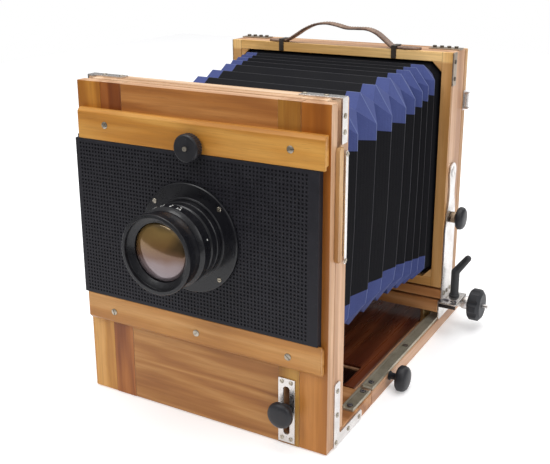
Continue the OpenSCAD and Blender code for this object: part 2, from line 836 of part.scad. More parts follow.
module uprights() {
  color([0.86, 0.86, 0.85]) from_front() both_sides() difference() {
    union() {
      sheet_x([up_x0, up_x1]) {
        polygon([
          [axis_y - up_half, up_z0], [axis_y + up_half, up_z0],
          [axis_y + up_half, 140], [axis_y + 15, 160], [axis_y + 9.5, 182],
          [axis_y + 9.5, 196], [axis_y + 11.5, tilt_z], [axis_y - 11.5, tilt_z],
          [axis_y - 9.5, 196], [axis_y - 9.5, 182], [axis_y - 15, 160],
          [axis_y - up_half, 140]
        ]);
        translate([axis_y, tilt_z]) circle(r = 11.5);
      }
      block([up_x1, shelf_x1 - 2], [axis_y - 13, axis_y + 13], [up_z0, swing_z0]);
    }
    rod_x([up_x0 - 1, up_x1 + 1], 4 + fit_gap, axis_y, tilt_z);
    tilt_slot();
    rod_z([up_z0 - 1, swing_z0 + 1], 3 + fit_gap, lever_x, axis_y);
  }
}

module swing_screws() {
  color([0.70, 0.68, 0.63]) from_front() both_sides() {
    for (y = [-11, 0, 11]) head_side(axis_y + y, 56, up_x1, 2.8, 20 + 5 * y);
  }
}

module clamp_lever() {
  from_front() translate([lever_x, axis_y, 0]) {
    rod_z([43, swing_z0 + 0.2], 3, 0, 0);
    rod_z([42.6, 45.3], 5.2, 0, 0);
    rod_z([swing_z0 + 0.2, swing_z0 + 3], 6.4, 0, 0);
    rod_z([swing_z0 + 3, lever_bend_z], 5.2, 0, 0);
    translate([0, 0, lever_bend_z]) {
      sphere(r = 5.2);
      rotate([0, lever_lean, 0]) cylinder(h = lever_reach, r1 = 5.1, r2 = 4.2);
      rotate([0, lever_lean, 0]) translate([0, 0, lever_reach]) sphere(r = 4.2);
    }
  }
}

module clamp_lever_right() {
  color([0.07, 0.07, 0.08]) clamp_lever();
}

module clamp_lever_left() {
  color([0.07, 0.07, 0.08]) mirror([1, 0, 0]) clamp_lever();
}

// ----------------------------------------------------------- rear standard

module rear_face_frame() {
  color([0.80, 0.60, 0.30]) from_front() {
    ring_board([rear_y, rear_y + face_t], rear_x, [rear_z0, rear_z1],
               open_x, [open_z0, open_z1]);
    for (a = [0, 1], b = [0, 1]) mirror([a, 0, 0])
      translate([0, 0, b * (open_z0 + open_z1)]) mirror([0, 0, b])
        sheet_y([rear_y + 0.6, rear_y + face_t])
          polygon([[open_x, open_z0], [open_x - 12, open_z0], [open_x, open_z0 + 12]]);
  }
}

module rear_box() {
  color([0.80, 0.60, 0.44]) from_front()
    ring_board([rear_y + face_t, rear_y + rear_d], rear_x, [rear_z0, rear_z1],
               open_x + 1, [open_z0 - 1, open_z1 + 1]);
}

module rear_corner_plates() {
  color([0.80, 0.79, 0.76]) from_front() {
    both_sides() {
      block([rear_x, rear_x + plate_t], [rear_y + 1, rear_y + 13], [320, rear_z1 - 0.4]);
      block([rear_x - 38, rear_x], [rear_y + 24, rear_y + 40], [rear_z1, rear_z1 + plate_t]);
    }
    for (z = hinge_z) {
      block([-rear_x - 1.2, -rear_x], [door_y0 - 17, door_y0 - 2.6], [z - 17, z + 17]);
      for (s = [[-17, -6.2], [6.2, 17]]) difference() {
        union() {
          rod_z([z + s[0], z + s[1]], 2.2, -rear_x - 2.2, door_y0);
          block([-rear_x - 1.2, -rear_x], [door_y0 - 3, door_y0 - 1.4], [z + s[0], z + s[1]]);
        }
        rod_z([z + s[0] - 1, z + s[1] + 1], 1, -rear_x - 2.2, door_y0);
      }
    }
  }
}

module rear_screws() {
  color([0.50, 0.47, 0.42]) from_front() {
    both_sides() {
      for (z = [328, 348]) head_side(rear_y + 7, z, rear_x + plate_t);
      for (x = [117, 126, 135, 144]) {
        rod_z([rear_z1 + plate_t, rear_z1 + plate_t + 1.4], 2.2, x, rear_y + 32);
        head_top(x, rear_y + 32, rear_z1 + plate_t + 1.4);
      }
    }
    for (z = hinge_z, k = [-11, 11]) mirror([1, 0, 0])
      head_side(door_y0 - 10, z + k, rear_x + 1.2, 2);
  }
}

module tilt_studs() {
  color([0.80, 0.79, 0.76]) from_front() both_sides() {
    rod_x([rear_x, up_x1 + 0.1], 4, axis_y, tilt_z);
    translate([up_x1 + 0.1, axis_y, tilt_z]) rotate([0, 90, 0]) head(6.5, 40);
    rod_x([rear_x, 166], 3, axis_y, clamp_z);
  }
}

module tilt_knob() {
  from_front() translate([up_x1 + 0.2, axis_y, clamp_z])
    mushroom(5.2, 8, knob_r + 1.2, 10.5, 3 + fit_gap, 15);
}

module tilt_knob_right() {
  color([0.06, 0.06, 0.07]) tilt_knob();
}

module tilt_knob_left() {
  color([0.06, 0.06, 0.07]) mirror([1, 0, 0]) tilt_knob();
}

strap_path = [
  [-97, 0.4], [-82, 0.4], [-75, 0.6], [-68, 3.2], [-58, 9], [-46, 16.5], [-32, 22.6],
  [-16, 25.4], [-2, 23.6], [12, 20.2], [26, 20.6], [40, 20.4], [52, 16], [63, 8],
  [71, 1.6], [74, 0.7], [80, 0.5], [108, 0.4]
];

module handle_strap() {
  color([0.45, 0.32, 0.24]) from_front() translate([0, 0, rear_z1])
    sheet_y([rear_y + 1, rear_y + 15]) polygon(concat(
      strap_path,
      [for (i = [len(strap_path) - 1:-1:0]) strap_path[i] + [0, 2.6]]
    ));
}

module handle_loops() {
  color([0.30, 0.22, 0.16]) from_front() for (x = [-77, 77]) {
    difference() {
      block([x - 3.2, x + 3.2], [rear_y - 1, rear_y + 16.4], [rear_z1 - 10.5, rear_z1 + 4.8]);
      block([x - 5, x + 5], [rear_y, rear_y + 20], [rear_z1 - 12, rear_z1]);
      block([x - 5, x + 5], [rear_y + 0.5, rear_y + 15.5], [rear_z1 - 1, rear_z1 + 3.8]);
    }
  }
}

// --------------------------------------------------------- ground glass back

module back_frame() {
  color([0.80, 0.60, 0.44]) from_front() difference() {
    ring_board([door_y0, door_y0 + door_t], rear_x, [rear_z0 + 1, rear_z1 - 1],
               view_x, [tilt_z - view_z, tilt_z + view_z]);
    block([-view_x - 4, view_x + 4], [door_y0 + 9, door_y0 + door_t + 1],
          [tilt_z - view_z - 4, tilt_z + view_z + 4]);
  }
}

module ground_glass() {
  color([0.80, 0.84, 0.84, 0.5]) from_front()
    block([-view_x - 3.8, view_x + 3.8], [door_y0 + 9, door_y0 + door_t],
          [tilt_z - view_z - 3.8, tilt_z + view_z + 3.8]);
}

module back_fittings() {
  color([0.80, 0.79, 0.76]) from_front() {
    for (z = hinge_z) {
      block([-rear_x - 1.2, -rear_x], [door_y0 + 2.6, door_y0 + 11.6], [z - 17, z + 17]);
      rod_z([z - 6, z + 6], 2.2, -rear_x - 2.2, door_y0);
      rod_z([z - 17, z - 6], 1 - fit_gap, -rear_x - 2.2, door_y0);
      rod_z([z + 6, z + 17], 1 - fit_gap, -rear_x - 2.2, door_y0);
      block([-rear_x - 2.2, -rear_x - 1.2], [door_y0, door_y0 + 3.4], [z - 6, z + 6]);
    }
    for (x = [-60, 60], k = [-1, 1])
      block([x - 10, x + 10], [door_y0 + door_t, door_y0 + door_t + 1],
            [tilt_z + k * (view_z + 7) - 8, tilt_z + k * (view_z + 7) + 8]);
    for (k = [-1, 1]) difference() {
      block([rear_x, rear_x + 6.6], [door_y0 + 2, door_y0 + 9.6],
            [latch_z + k * 9.4 - 0.8, latch_z + k * 9.4 + 0.8]);
      rod_z([latch_z - 14, latch_z + 14], 1.4, rear_x + 3.5, door_y0 + 5.8);
    }
    rod_z([latch_z - 10.2, latch_z + 10.2], 1.4, rear_x + 3.5, door_y0 + 5.8);
    block([rear_x, rear_x + 0.7], [door_y0 + 1, door_y0 + 10.6], [latch_z - 12, latch_z + 12]);
  }
}

module back_latch() {
  color([0.72, 0.71, 0.68]) from_front()
    translate([rear_x + 3.5, door_y0 + 5.8, latch_z - 8.2]) difference() {
      cylinder(h = 16.4, r = 2.7);
      translate([0, 0, -1]) cylinder(h = 19, r = 1.4 + fit_gap);
      for (i = [0:6]) translate([0, 0, 1.2 + i * 2.2]) difference() {
        cylinder(h = 0.7, r = 4);
        translate([0, 0, -1]) cylinder(h = 3, r = 2.3);
      }
    }
}

// ------------------------------------------------------------------ output

base_board();
tailboard();
bed_panel();
tail_hinges();
front_frame();
front_corner_plates();
side_guides();
keeper_bars();
base_angle_plates();
racks();
tripod_bush();
rise_stud();
base_screws();
bellows_front_frame();
bellows();
lock_knob_right();
lock_knob_left();
panel_stiles();
panel_strips();
panel_centre();
slot_plate();
clamp_bars();
panel_screws();
clamp_knob();
rise_knob();
lens_board();
lens_flange();
lens_screws();
lens_barrel();
lens_rim();
lens_glass();
iris_blades();
aperture_ring();
carriage_board();
carriage_plates();
carriage_gibs();
turntable_plate();
carriage_screws();
pinion_shaft();
pinions();
focus_knobs();
clamp_lever_right();
clamp_lever_left();
swing_board();
uprights();
swing_screws();
rear_box();
rear_face_frame();
rear_corner_plates();
rear_screws();
tilt_studs();
handle_strap();
handle_loops();
tilt_knob_right();
tilt_knob_left();
back_frame();
ground_glass();
back_fittings();
back_latch();
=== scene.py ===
import json
import math

import bmesh
import bpy
from mathutils import Matrix, Vector


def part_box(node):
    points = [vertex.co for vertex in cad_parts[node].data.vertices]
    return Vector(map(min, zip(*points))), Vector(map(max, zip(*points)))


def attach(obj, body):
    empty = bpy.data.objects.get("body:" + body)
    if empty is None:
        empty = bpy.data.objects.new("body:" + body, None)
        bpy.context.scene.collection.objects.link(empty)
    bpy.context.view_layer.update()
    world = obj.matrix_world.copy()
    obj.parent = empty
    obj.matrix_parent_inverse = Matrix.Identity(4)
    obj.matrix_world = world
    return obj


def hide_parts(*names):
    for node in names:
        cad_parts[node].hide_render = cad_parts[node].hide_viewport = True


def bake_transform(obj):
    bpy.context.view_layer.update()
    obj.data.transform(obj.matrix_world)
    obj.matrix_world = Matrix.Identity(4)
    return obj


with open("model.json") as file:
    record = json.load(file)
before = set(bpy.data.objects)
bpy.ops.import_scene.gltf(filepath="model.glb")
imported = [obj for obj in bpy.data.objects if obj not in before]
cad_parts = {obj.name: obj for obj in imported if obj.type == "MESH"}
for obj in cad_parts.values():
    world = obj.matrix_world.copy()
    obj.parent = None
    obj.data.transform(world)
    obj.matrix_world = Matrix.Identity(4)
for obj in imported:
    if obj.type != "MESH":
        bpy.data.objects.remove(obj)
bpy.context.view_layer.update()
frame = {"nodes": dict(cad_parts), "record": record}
NODES = frame["nodes"]
RECORD = frame["record"]
SLOTS = {row["node"]: row["material_slot"] for row in RECORD["subparts"]}
MM = 0.001


# ------------------------------------------------------------------ shaders

class Graph:
    """Short-hand for building one node material."""

    def __init__(self, name):
        self.mat = bpy.data.materials.new(name)
        self.mat.use_nodes = True
        self.tree = self.mat.node_tree
        self.tree.nodes.clear()
        self.out = self.tree.nodes.new("ShaderNodeOutputMaterial")
        self.shader = self.tree.nodes.new("ShaderNodeBsdfPrincipled")
        self.tree.links.new(self.shader.outputs[0], self.out.inputs[0])
        self.coord = self.tree.nodes.new("ShaderNodeTexCoord").outputs["Object"]

    def node(self, kind, inputs=None, **props):
        n = self.tree.nodes.new(kind)
        for key, value in props.items():
            setattr(n, key, value)
        for key, value in (inputs or {}).items():
            self.put(n.inputs[key], value)
        return n

    def put(self, socket, value):
        if isinstance(value, bpy.types.NodeSocket):
            self.tree.links.new(value, socket)
        elif value is not None:
            if getattr(socket, "type", "") == "RGBA" and len(value) == 3:
                value = (*value, 1.0)
            socket.default_value = value

    def set(self, **inputs):
        for key, value in inputs.items():
            self.put(self.shader.inputs[key.replace("_", " ")], value)

    def mapping(self, scale, location=(0, 0, 0), rotation=(0, 0, 0), vector=None):
        return self.node("ShaderNodeMapping", {
            "Vector": vector or self.coord, "Scale": scale,
            "Location": location, "Rotation": rotation,
        }).outputs[0]

    def noise(self, vector, scale, detail=4.0, rough=0.55, distort=0.0):
        return self.node("ShaderNodeTexNoise", {
            "Vector": vector, "Scale": scale, "Detail": detail,
            "Roughness": rough, "Distortion": distort,
        }).outputs["Fac"]

    def ramp(self, fac, stops, mode="LINEAR"):
        n = self.node("ShaderNodeValToRGB", {"Fac": fac})
        n.color_ramp.interpolation = mode
        while len(n.color_ramp.elements) < len(stops):
            n.color_ramp.elements.new(0.5)
        for e, (pos, col) in zip(n.color_ramp.elements, stops):
            e.position = pos
            e.color = (*col, 1.0) if len(col) == 3 else col
        return n.outputs["Color"]

    def band(self, fac, lo, hi, a=0.0, b=1.0):
        return self.node("ShaderNodeMapRange", {
            "Value": fac, "From Min": lo, "From Max": hi, "To Min": a, "To Max": b,
        }).outputs[0]

    def math(self, op, a, b=0.0, c=0.0):
        n = self.node("ShaderNodeMath", operation=op)
        for i, v in enumerate((a, b, c)):
            self.put(n.inputs[i], v)
        return n.outputs[0]

    def mix(self, fac, a, b, blend="MIX"):
        n = self.node("ShaderNodeMix", data_type="RGBA", blend_type=blend)
        self.put(n.inputs[0], fac)
        self.put(n.inputs[6], a)
        self.put(n.inputs[7], b)
        return n.outputs[2]

    def axis(self, which):
        n = self.node("ShaderNodeSeparateXYZ", {"Vector": self.coord})
        return n.outputs["XYZ".index(which)]

    def bump(self, height, strength, distance, normal=None):
        ins = {"Height": height, "Strength": strength, "Distance": distance}
        if normal is not None:
            ins["Normal"] = normal
        return self.node("ShaderNodeBump", ins).outputs[0]

    def edge(self, radius, lo=0.02, hi=0.25):
        """1 near sharp edges, 0 on open faces."""
        bev = self.node("ShaderNodeBevel", {"Radius": radius}, samples=3).outputs[0]
        geo = self.node("ShaderNodeNewGeometry").outputs["True Normal"]
        dot = self.node("ShaderNodeVectorMath", operation="DOT_PRODUCT")
        self.put(dot.inputs[0], bev)
        self.put(dot.inputs[1], geo)
        return self.band(self.math("SUBTRACT", 1.0, dot.outputs["Value"]), lo, hi)


def along(axis, slow, fast):
    """Texture scale that stretches a pattern along one axis."""
    return tuple(slow if a == axis else fast for a in "XYZ")


TONE_MID, TONE_REACH = 0.52, 0.24  # middle and half width of the colour ramp of the wood
SEAM_HALF = 0.25 * MM  # half the width of the dark joint between stile and rail


def wood(name, tones, axis="Z", seed=0.0, figure=0.0, slant=0.0, gloss=0.42, coat=0.10,
         contrast=1.0, fleck=0.7, width=1.35, right=None, side=None, rails=0.0, height_tint_and_shade=None):
    """Sawn and varnished wood with growth bands, pores, blotches and rubbed edges.

    right: tones of the boards where X > 0; side: tones of end and top faces; rails: half the
    length of the cross pieces, whose grain runs along X; height_tint_and_shade: (z0, z1, gain below,
    gain above), a tint by height that on the bed also paints shade.
    """
    g = Graph(name)
    place = g.node("ShaderNodeSeparateXYZ", {"Vector": g.coord}).outputs
    seam = None
    if rails:
        turned = g.node("ShaderNodeCombineXYZ", {"X": place[2], "Y": place[1], "Z": place[0]})
        reach = g.math("ABSOLUTE", place[0])
        pick = g.node("ShaderNodeMix", data_type="VECTOR")
        g.put(pick.inputs[0], g.math("LESS_THAN", reach, rails))
        g.put(pick.inputs[4], g.coord)
        g.put(pick.inputs[5], turned.outputs[0])
        seam = g.math("LESS_THAN", g.math("ABSOLUTE", g.math("SUBTRACT", reach, rails)), SEAM_HALF)
        g.coord = pick.outputs[1]
    dark, mid, _ = tones
    shift = (seed * 0.37, seed * 0.21, seed * 0.53)
    rot = (0, 0, 0)
    if slant:
        rot = (0, slant, 0) if axis != "Y" else (slant, 0, 0)
    base = g.mapping(along(axis, 1.0, 9.0 * width), shift, rot)
    warp = g.noise(base, 3.2, 3.0, 0.6, 0.8 + figure)
    rings = g.node("ShaderNodeTexWave", {
        "Vector": g.mapping(along(axis, 0.9, 8.5 * width), shift, rot), "Scale": 1.6,
        "Distortion": 7.0 + 9.0 * figure, "Detail": 3.0, "Detail Scale": 1.4,
        "Detail Roughness": 0.62,
    }, wave_type="BANDS", bands_direction="DIAGONAL").outputs["Fac"]
    tone = g.math("ADD", g.math("MULTIPLY", rings, 0.42), g.math("MULTIPLY", warp, 0.62))
    half = TONE_REACH / contrast
    steps = (TONE_MID - half, TONE_MID, TONE_MID + half)
    col = g.ramp(tone, list(zip(steps, tones)))
    if right:
        other = g.ramp(tone, list(zip(steps, right)))
        col = g.mix(g.math("GREATER_THAN", place[0], 0.0), col, other)
    if height_tint_and_shade:
        low, high, below, above = height_tint_and_shade
        gain = g.mix(g.band(place[2], low, high), below, above)
        col = g.mix(1.0, col, gain, "MULTIPLY")
    if side:
        normal = g.node("ShaderNodeNewGeometry").outputs["True Normal"]
        facing = g.node("ShaderNodeSeparateXYZ", {"Vector": normal}).outputs
        turned_away = g.math("MAXIMUM", g.math("ABSOLUTE", facing[0]), facing[2])
        pale = g.ramp(tone, list(zip(steps, side)))
        col = g.mix(g.math("GREATER_THAN", turned_away, 0.6), col, pale)
    fibre = g.noise(g.mapping(along(axis, 14.0, 420.0), shift, rot), 1.0, 5.0, 0.6, 0.2)
    col = g.mix(g.band(fibre, 0.35, 0.75, 0.0, 0.45 * fleck), col,
                tuple(c * 0.62 for c in dark))
    pores = g.noise(g.mapping(along(axis, 60.0, 1500.0), shift, rot), 1.0, 2.0, 0.5)
    pore = g.band(pores, 0.60, 0.70)
    col = g.mix(g.math("MULTIPLY", pore, 0.28 * fleck), col, tuple(c * 0.35 for c in dark))
    blotch = g.noise(g.mapping((7, 7, 7), shift), 1.0, 3.0, 0.6)
    col = g.mix(g.band(blotch, 0.35, 0.7, 0.0, 0.22), col, tuple(c * 0.8 for c in mid), "MULTIPLY")
    if seam is not None:
        col = g.mix(g.math("MULTIPLY", seam, 0.7), col, tuple(c * 0.4 for c in dark))
    rub = g.math("MULTIPLY", g.edge(0.0016), g.band(g.noise(g.mapping((40, 40, 40), shift),
                 1.0, 3.0), 0.4, 0.65, 0.25, 0.9))
    col = g.mix(rub, col, tuple(c * 0.55 for c in dark))
    rough = g.band(fibre, 0.3, 0.75, gloss - 0.06, gloss + 0.14)
    g.set(Base_Color=col, Roughness=rough, Coat_Weight=coat, Coat_Roughness=0.22,
          Specular_IOR_Level=0.3)
    height = g.math("ADD", g.math("MULTIPLY", fibre, 0.6), g.math("MULTIPLY", pore, -0.5))
    g.set(Normal=g.bump(height, 0.22, 0.0004))
    return g.mat


def metal(name, base, tint, rough=0.22, scratch=0.5, grime=0.35, brushed=None, seed=0.0,
          metallic=1.0, painted_shade_band=None):
    """Plated or machined metal with fine scratches, dull patches and grime by the edges.

    painted_shade_band: (least |X|, z0, z1) of the part of the node painted dark and matt as the
    shadow under the shelf.
    """
    g = Graph(name)
    shift = (seed, seed * 0.7, seed * 0.3)
    scale = along(brushed, 30.0, 1800.0) if brushed else (900, 900, 900)
    fine = g.noise(g.mapping(scale, shift), 1.0, 3.0, 0.6)
    streak = g.noise(g.mapping((60, 900, 300), shift, (0.4, 0.9, 0.3)), 1.0, 2.0, 0.5)
    patch = g.noise(g.mapping((55, 55, 55), shift), 1.0, 4.0, 0.6)
    col = g.mix(g.band(patch, 0.4, 0.7), base, tint)
    dirt = g.math("MULTIPLY", g.edge(0.0011, 0.02, 0.3), g.band(patch, 0.3, 0.6, 0.3, 1.0))
    col = g.mix(g.math("MULTIPLY", dirt, grime), col, tuple(c * 0.28 for c in tint))
    # painted shade: this band is made dark and non-metallic for the shadow under the shelf
    if painted_shade_band:
        x0, z0, z1 = painted_shade_band
        place = g.node("ShaderNodeSeparateXYZ", {"Vector": g.coord}).outputs
        shade_mask = g.math("MULTIPLY", g.math("GREATER_THAN", g.math("ABSOLUTE", place[0]), x0),
                       g.math("MULTIPLY", g.math("GREATER_THAN", place[2], z0),
                              g.math("LESS_THAN", place[2], z1)))
        col = g.mix(shade_mask, col, (0.012, 0.011, 0.012))
        metallic = g.math("SUBTRACT", metallic, shade_mask)
    value = g.math("ADD", g.band(fine, 0.3, 0.75, rough * 0.7, rough * 1.5),
                   g.math("MULTIPLY", g.band(streak, 0.58, 0.7), 0.18 * scratch))
    g.set(Base_Color=col, Metallic=metallic, Roughness=g.math("ADD", value,
          g.band(patch, 0.45, 0.8, 0.0, 0.10)))
    g.set(Normal=g.bump(g.math("ADD", fine, streak), 0.05 * (1 + scratch), 0.0001))
    return g.mat


TURNING_RATE = 9000.0  # radians per metre along the lens axis


def paint(name, base, dust_wear_and_highlight, rough=0.4, grain=900.0, bump=0.2, edge=0.4, coat=0.0, turned=None,
          seed=0.0, spec=0.4):
    """Black enamel, bakelite or moulded plastic: dust, hairlines, rubbed edges lightened, partly
    worn and partly a painted edge highlight.

    turned: the Y from which turning marks round the lens axis are counted.
    """
    g = Graph(name)
    shift = (seed, seed * 0.4, seed * 0.8)
    fine = g.noise(g.mapping((grain,) * 3, shift), 1.0, 3.0, 0.6)
    patch = g.noise(g.mapping((70, 70, 70), shift), 1.0, 4.0, 0.65)
    dust = g.band(g.noise(g.mapping((420, 420, 420), shift), 1.0, 2.0), 0.66, 0.74)
    col = g.mix(g.band(patch, 0.35, 0.75, 0.0, 0.5), base, tuple(c * 1.7 + 0.004 for c in base))
    col = g.mix(g.math("MULTIPLY", dust, 0.25), col, dust_wear_and_highlight)
    # edges lightened towards the pale colour: partly worn paint, partly a painted edge highlight
    rub = g.math("MULTIPLY", g.edge(0.0009, 0.03, 0.35), g.band(patch, 0.3, 0.62, 0.35, 1.0))
    col = g.mix(g.math("MULTIPLY", rub, edge), col, dust_wear_and_highlight)
    height = fine
    if turned is not None:
        marks = g.math("MULTIPLY", g.math("SUBTRACT", g.axis("Y"), turned), TURNING_RATE)
        height = g.math("ADD", fine, g.math("MULTIPLY", g.math("SINE", marks), 0.4))
    g.set(Base_Color=col, Roughness=g.math("ADD", g.band(fine, 0.3, 0.7, rough - 0.05, rough + 0.07),
          g.band(patch, 0.4, 0.8, 0.0, 0.12)), Coat_Weight=coat, Coat_Roughness=0.12)
    g.set(Specular_IOR_Level=spec, Normal=g.bump(height, bump, 0.0002))
    return g.mat


def cloth(name, base, light, weave=1500.0, rough=0.8, sheen=0.3, crease=0.5, seed=0.0, spec=0.4):
    """Coated bookbinder's cloth: fine weave, soft creases, lighter on worn parts."""
    g = Graph(name)
    shift = (seed, seed * 0.6, seed * 0.9)
    waves = [g.node("ShaderNodeTexWave", {
        "Vector": g.mapping((1, 1, 1), shift), "Scale": weave / 6.283 * 0.5,
        "Distortion": 0.6, "Detail": 1.0,
    }, bands_direction=d).outputs["Fac"] for d in ("X", "Y", "Z")]
    weft = g.math("MAXIMUM", g.math("MAXIMUM", waves[0], waves[1]), waves[2])
    soft = g.noise(g.mapping((26, 26, 12), shift), 1.0, 4.0, 0.6, 0.4)
    speck = g.noise(g.mapping((700, 700, 700), shift), 1.0, 2.0, 0.5)
    col = g.mix(g.band(soft, 0.35, 0.75, 0.0, 0.55), base, light)
    col = g.mix(g.band(speck, 0.55, 0.75, 0.0, 0.4), col, light)
    g.set(Base_Color=col, Roughness=g.band(soft, 0.3, 0.7, rough - 0.1, rough + 0.08),
          Sheen_Weight=sheen, Sheen_Roughness=0.45, Specular_IOR_Level=spec)
    normal = g.bump(soft, 0.35 * crease, 0.004)
    g.set(Normal=g.bump(g.math("ADD", weft, speck), 0.25, 0.0003, normal))
    return g.mat


def leather(name, base, light, dark, seed=0.0):
    """Worn strap leather: pebble grain, cracks, rubbed and darkened edges."""
    g = Graph(name)
    pebble = g.node("ShaderNodeTexVoronoi", {
        "Vector": g.mapping((1, 1, 1), (seed,) * 3), "Scale": 700.0,
    }, feature="F1").outputs["Distance"]
    crack = g.node("ShaderNodeTexVoronoi", {
        "Vector": g.mapping((1, 0.5, 1), (seed,) * 3), "Scale": 160.0,
    }, feature="DISTANCE_TO_EDGE").outputs["Distance"]
    patch = g.noise(g.mapping((60, 60, 60)), 1.0, 5.0, 0.65)
    col = g.ramp(patch, [(0.3, dark), (0.5, base), (0.72, light)])
    cracks = g.band(crack, 0.0, 0.07, 1.0, 0.0)
    col = g.mix(g.math("MULTIPLY", cracks, 0.45), col, tuple(c * 0.4 for c in dark))
    col = g.mix(g.math("MULTIPLY", g.edge(0.0012), 0.6), col, tuple(c * 0.5 for c in dark))
    g.set(Base_Color=col, Roughness=g.band(patch, 0.3, 0.7, 0.42, 0.66), Coat_Weight=0.12,
          Coat_Roughness=0.35)
    height = g.math("SUBTRACT", g.math("MULTIPLY", pebble, 0.6), g.math("MULTIPLY", cracks, 0.7))
    g.set(Normal=g.bump(height, 0.5, 0.0005))
    return g.mat


def lens_coating(name):
    """Coated front element with reflections painted into its colour: amber above, rose grey below, a
    dark wedge to one side.
    """
    g = Graph(name)
    lo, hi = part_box("lens_glass")
    mid = (lo + hi) / 2
    half = (hi.z - lo.z) / 2
    up = g.math("DIVIDE", g.math("SUBTRACT", g.axis("Z"), mid.z), half)
    side = g.math("DIVIDE", g.math("SUBTRACT", g.axis("X"), mid.x), half)
    wob = g.noise(g.mapping((30, 30, 30)), 1.0, 2.0)
    level = g.math("ADD", up, g.math("MULTIPLY", g.math("SUBTRACT", wob, 0.5), 0.5))
    # painted reflections of the surroundings: amber above, rose grey below from the floor, a dark
    # wedge
    col = g.ramp(g.band(level, -1.0, 1.0), [
        (0.0, (0.27, 0.23, 0.25)), (0.30, (0.24, 0.18, 0.18)), (0.42, (0.16, 0.085, 0.055)),
        (0.62, (0.21, 0.115, 0.040)), (0.86, (0.30, 0.19, 0.065)), (1.0, (0.12, 0.08, 0.035)),
    ])
    dark_reflection_wedge = g.band(g.math("ADD", side, g.math("MULTIPLY", level, -0.55)), 0.12, 0.5)
    dark_reflection_wedge = g.math("MULTIPLY", dark_reflection_wedge, g.band(level, -0.1, 0.15))
    col = g.mix(g.math("MULTIPLY", dark_reflection_wedge, 0.85), col, (0.07, 0.045, 0.02))
    g.set(Base_Color=col, Metallic=0.35, Roughness=g.band(wob, 0.2, 0.8, 0.08, 0.14),
          Coat_Weight=0.25, Coat_Roughness=0.03, IOR=1.5)
    return g.mat


def ground(name):
    """Finely ground glass, translucent."""
    g = Graph(name)
    fine = g.noise(g.mapping((1500, 1500, 1500)), 1.0, 2.0)
    cloud = g.noise(g.mapping((14, 14, 14)), 1.0, 3.0)
    col = g.mix(cloud, (0.62, 0.68, 0.67), (0.74, 0.78, 0.76))
    g.set(Base_Color=col, Roughness=g.band(fine, 0.3, 0.7, 0.42, 0.6), Transmission_Weight=0.55,
          IOR=1.5, Normal=g.bump(fine, 0.25, 0.0002))
    return g.mat


def marking(name):
    """White engraving filled with paint."""
    g = Graph(name)
    fine = g.noise(g.mapping((1200, 1200, 1200)), 1.0, 2.0)
    g.set(Base_Color=g.mix(fine, (0.62, 0.62, 0.60), (0.85, 0.85, 0.83)), Roughness=0.6,
          Normal=g.bump(fine, 0.2, 0.0001))
    return g.mat


HONEY = ((0.40, 0.19, 0.06), (0.59, 0.33, 0.13), (0.70, 0.44, 0.20))
PINK = ((0.50, 0.27, 0.14), (0.66, 0.39, 0.22), (0.77, 0.51, 0.32))
GOLD = ((0.48, 0.25, 0.06), (0.66, 0.39, 0.13), (0.76, 0.50, 0.20))
BARW = ((0.45, 0.19, 0.035), (0.60, 0.28, 0.06), (0.70, 0.38, 0.11))
CLARET = ((0.20, 0.050, 0.010), (0.34, 0.105, 0.022), (0.45, 0.16, 0.045))
BED = ((0.055, 0.012, 0.006), (0.11, 0.028, 0.012), (0.18, 0.052, 0.020))
CENTRE = ((0.30, 0.11, 0.026), (0.43, 0.185, 0.050), (0.54, 0.27, 0.09))
OLIVE = ((0.26, 0.10, 0.015), (0.38, 0.165, 0.028), (0.47, 0.23, 0.05))
STILE_L = ((0.36, 0.14, 0.022), (0.50, 0.22, 0.040), (0.60, 0.30, 0.08))
STILE_R = ((0.27, 0.085, 0.011), (0.40, 0.14, 0.020), (0.50, 0.20, 0.045))

NICKEL = metal("nickel", (0.73, 0.705, 0.69), (0.64, 0.61, 0.585), 0.28, 0.15, 0.08)
# the lower band of the shelf is painted dark as the shadow under it
SHELF = metal("nickel_shelf", (0.76, 0.74, 0.72), (0.66, 0.63, 0.60), 0.26, 0.3, 0.2, seed=2,
              painted_shade_band=(0.1502, 0.0405, 0.0458))
COLLAR_BROWN = metal("collar_brown", (0.40, 0.30, 0.21), (0.24, 0.17, 0.115), 0.34, 0.5, 0.6, seed=3)
# the nickel corner plates are coloured brown: a painted reflection of the wood round them
CORNER_NICKEL_PAINTED_REFLECTION = metal("corner_nickel_painted_reflection", (0.50, 0.42, 0.33), (0.36, 0.29, 0.22), 0.36, 0.4, 0.5, seed=4)
LOOP_STEEL = metal("loop_steel", (0.16, 0.135, 0.115), (0.09, 0.075, 0.062), 0.42, 0.5, 0.5, seed=6)
BRASS = metal("brass", (0.72, 0.55, 0.26), (0.48, 0.34, 0.15), 0.30, 0.5, 0.5, seed=5)
SCREW = metal("screw_steel", (0.55, 0.50, 0.42), (0.34, 0.29, 0.22), 0.33, 0.6, 0.8, seed=7)
SCREW_DARK = metal("screw_dark", (0.20, 0.17, 0.14), (0.11, 0.09, 0.07), 0.40, 0.5, 0.6, seed=8)
RACK = metal("rack_metal", (0.50, 0.46, 0.36), (0.36, 0.325, 0.24), 0.36, 0.4, 0.4, "X", 9, 0.45)
BAKELITE = paint("bakelite", (0.010, 0.010, 0.013), (0.11, 0.11, 0.12), 0.38, bump=0.12, seed=1)
KNOB = paint("knob_black", (0.018, 0.019, 0.023), (0.14, 0.14, 0.15), 0.50, bump=0.3, seed=2)
LEVER = paint("lever_black", (0.020, 0.020, 0.022), (0.16, 0.16, 0.16), 0.46, 700, 0.5, 0.6, seed=4)
PANEL_BLACK = paint("panel_black", (0.012, 0.0115, 0.0155), (0.06, 0.06, 0.065), 0.5, 1200, 0.3,
                    0.5, seed=6, spec=0.22)
BARREL_Y = sum(v.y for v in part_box("lens_barrel")) / 2
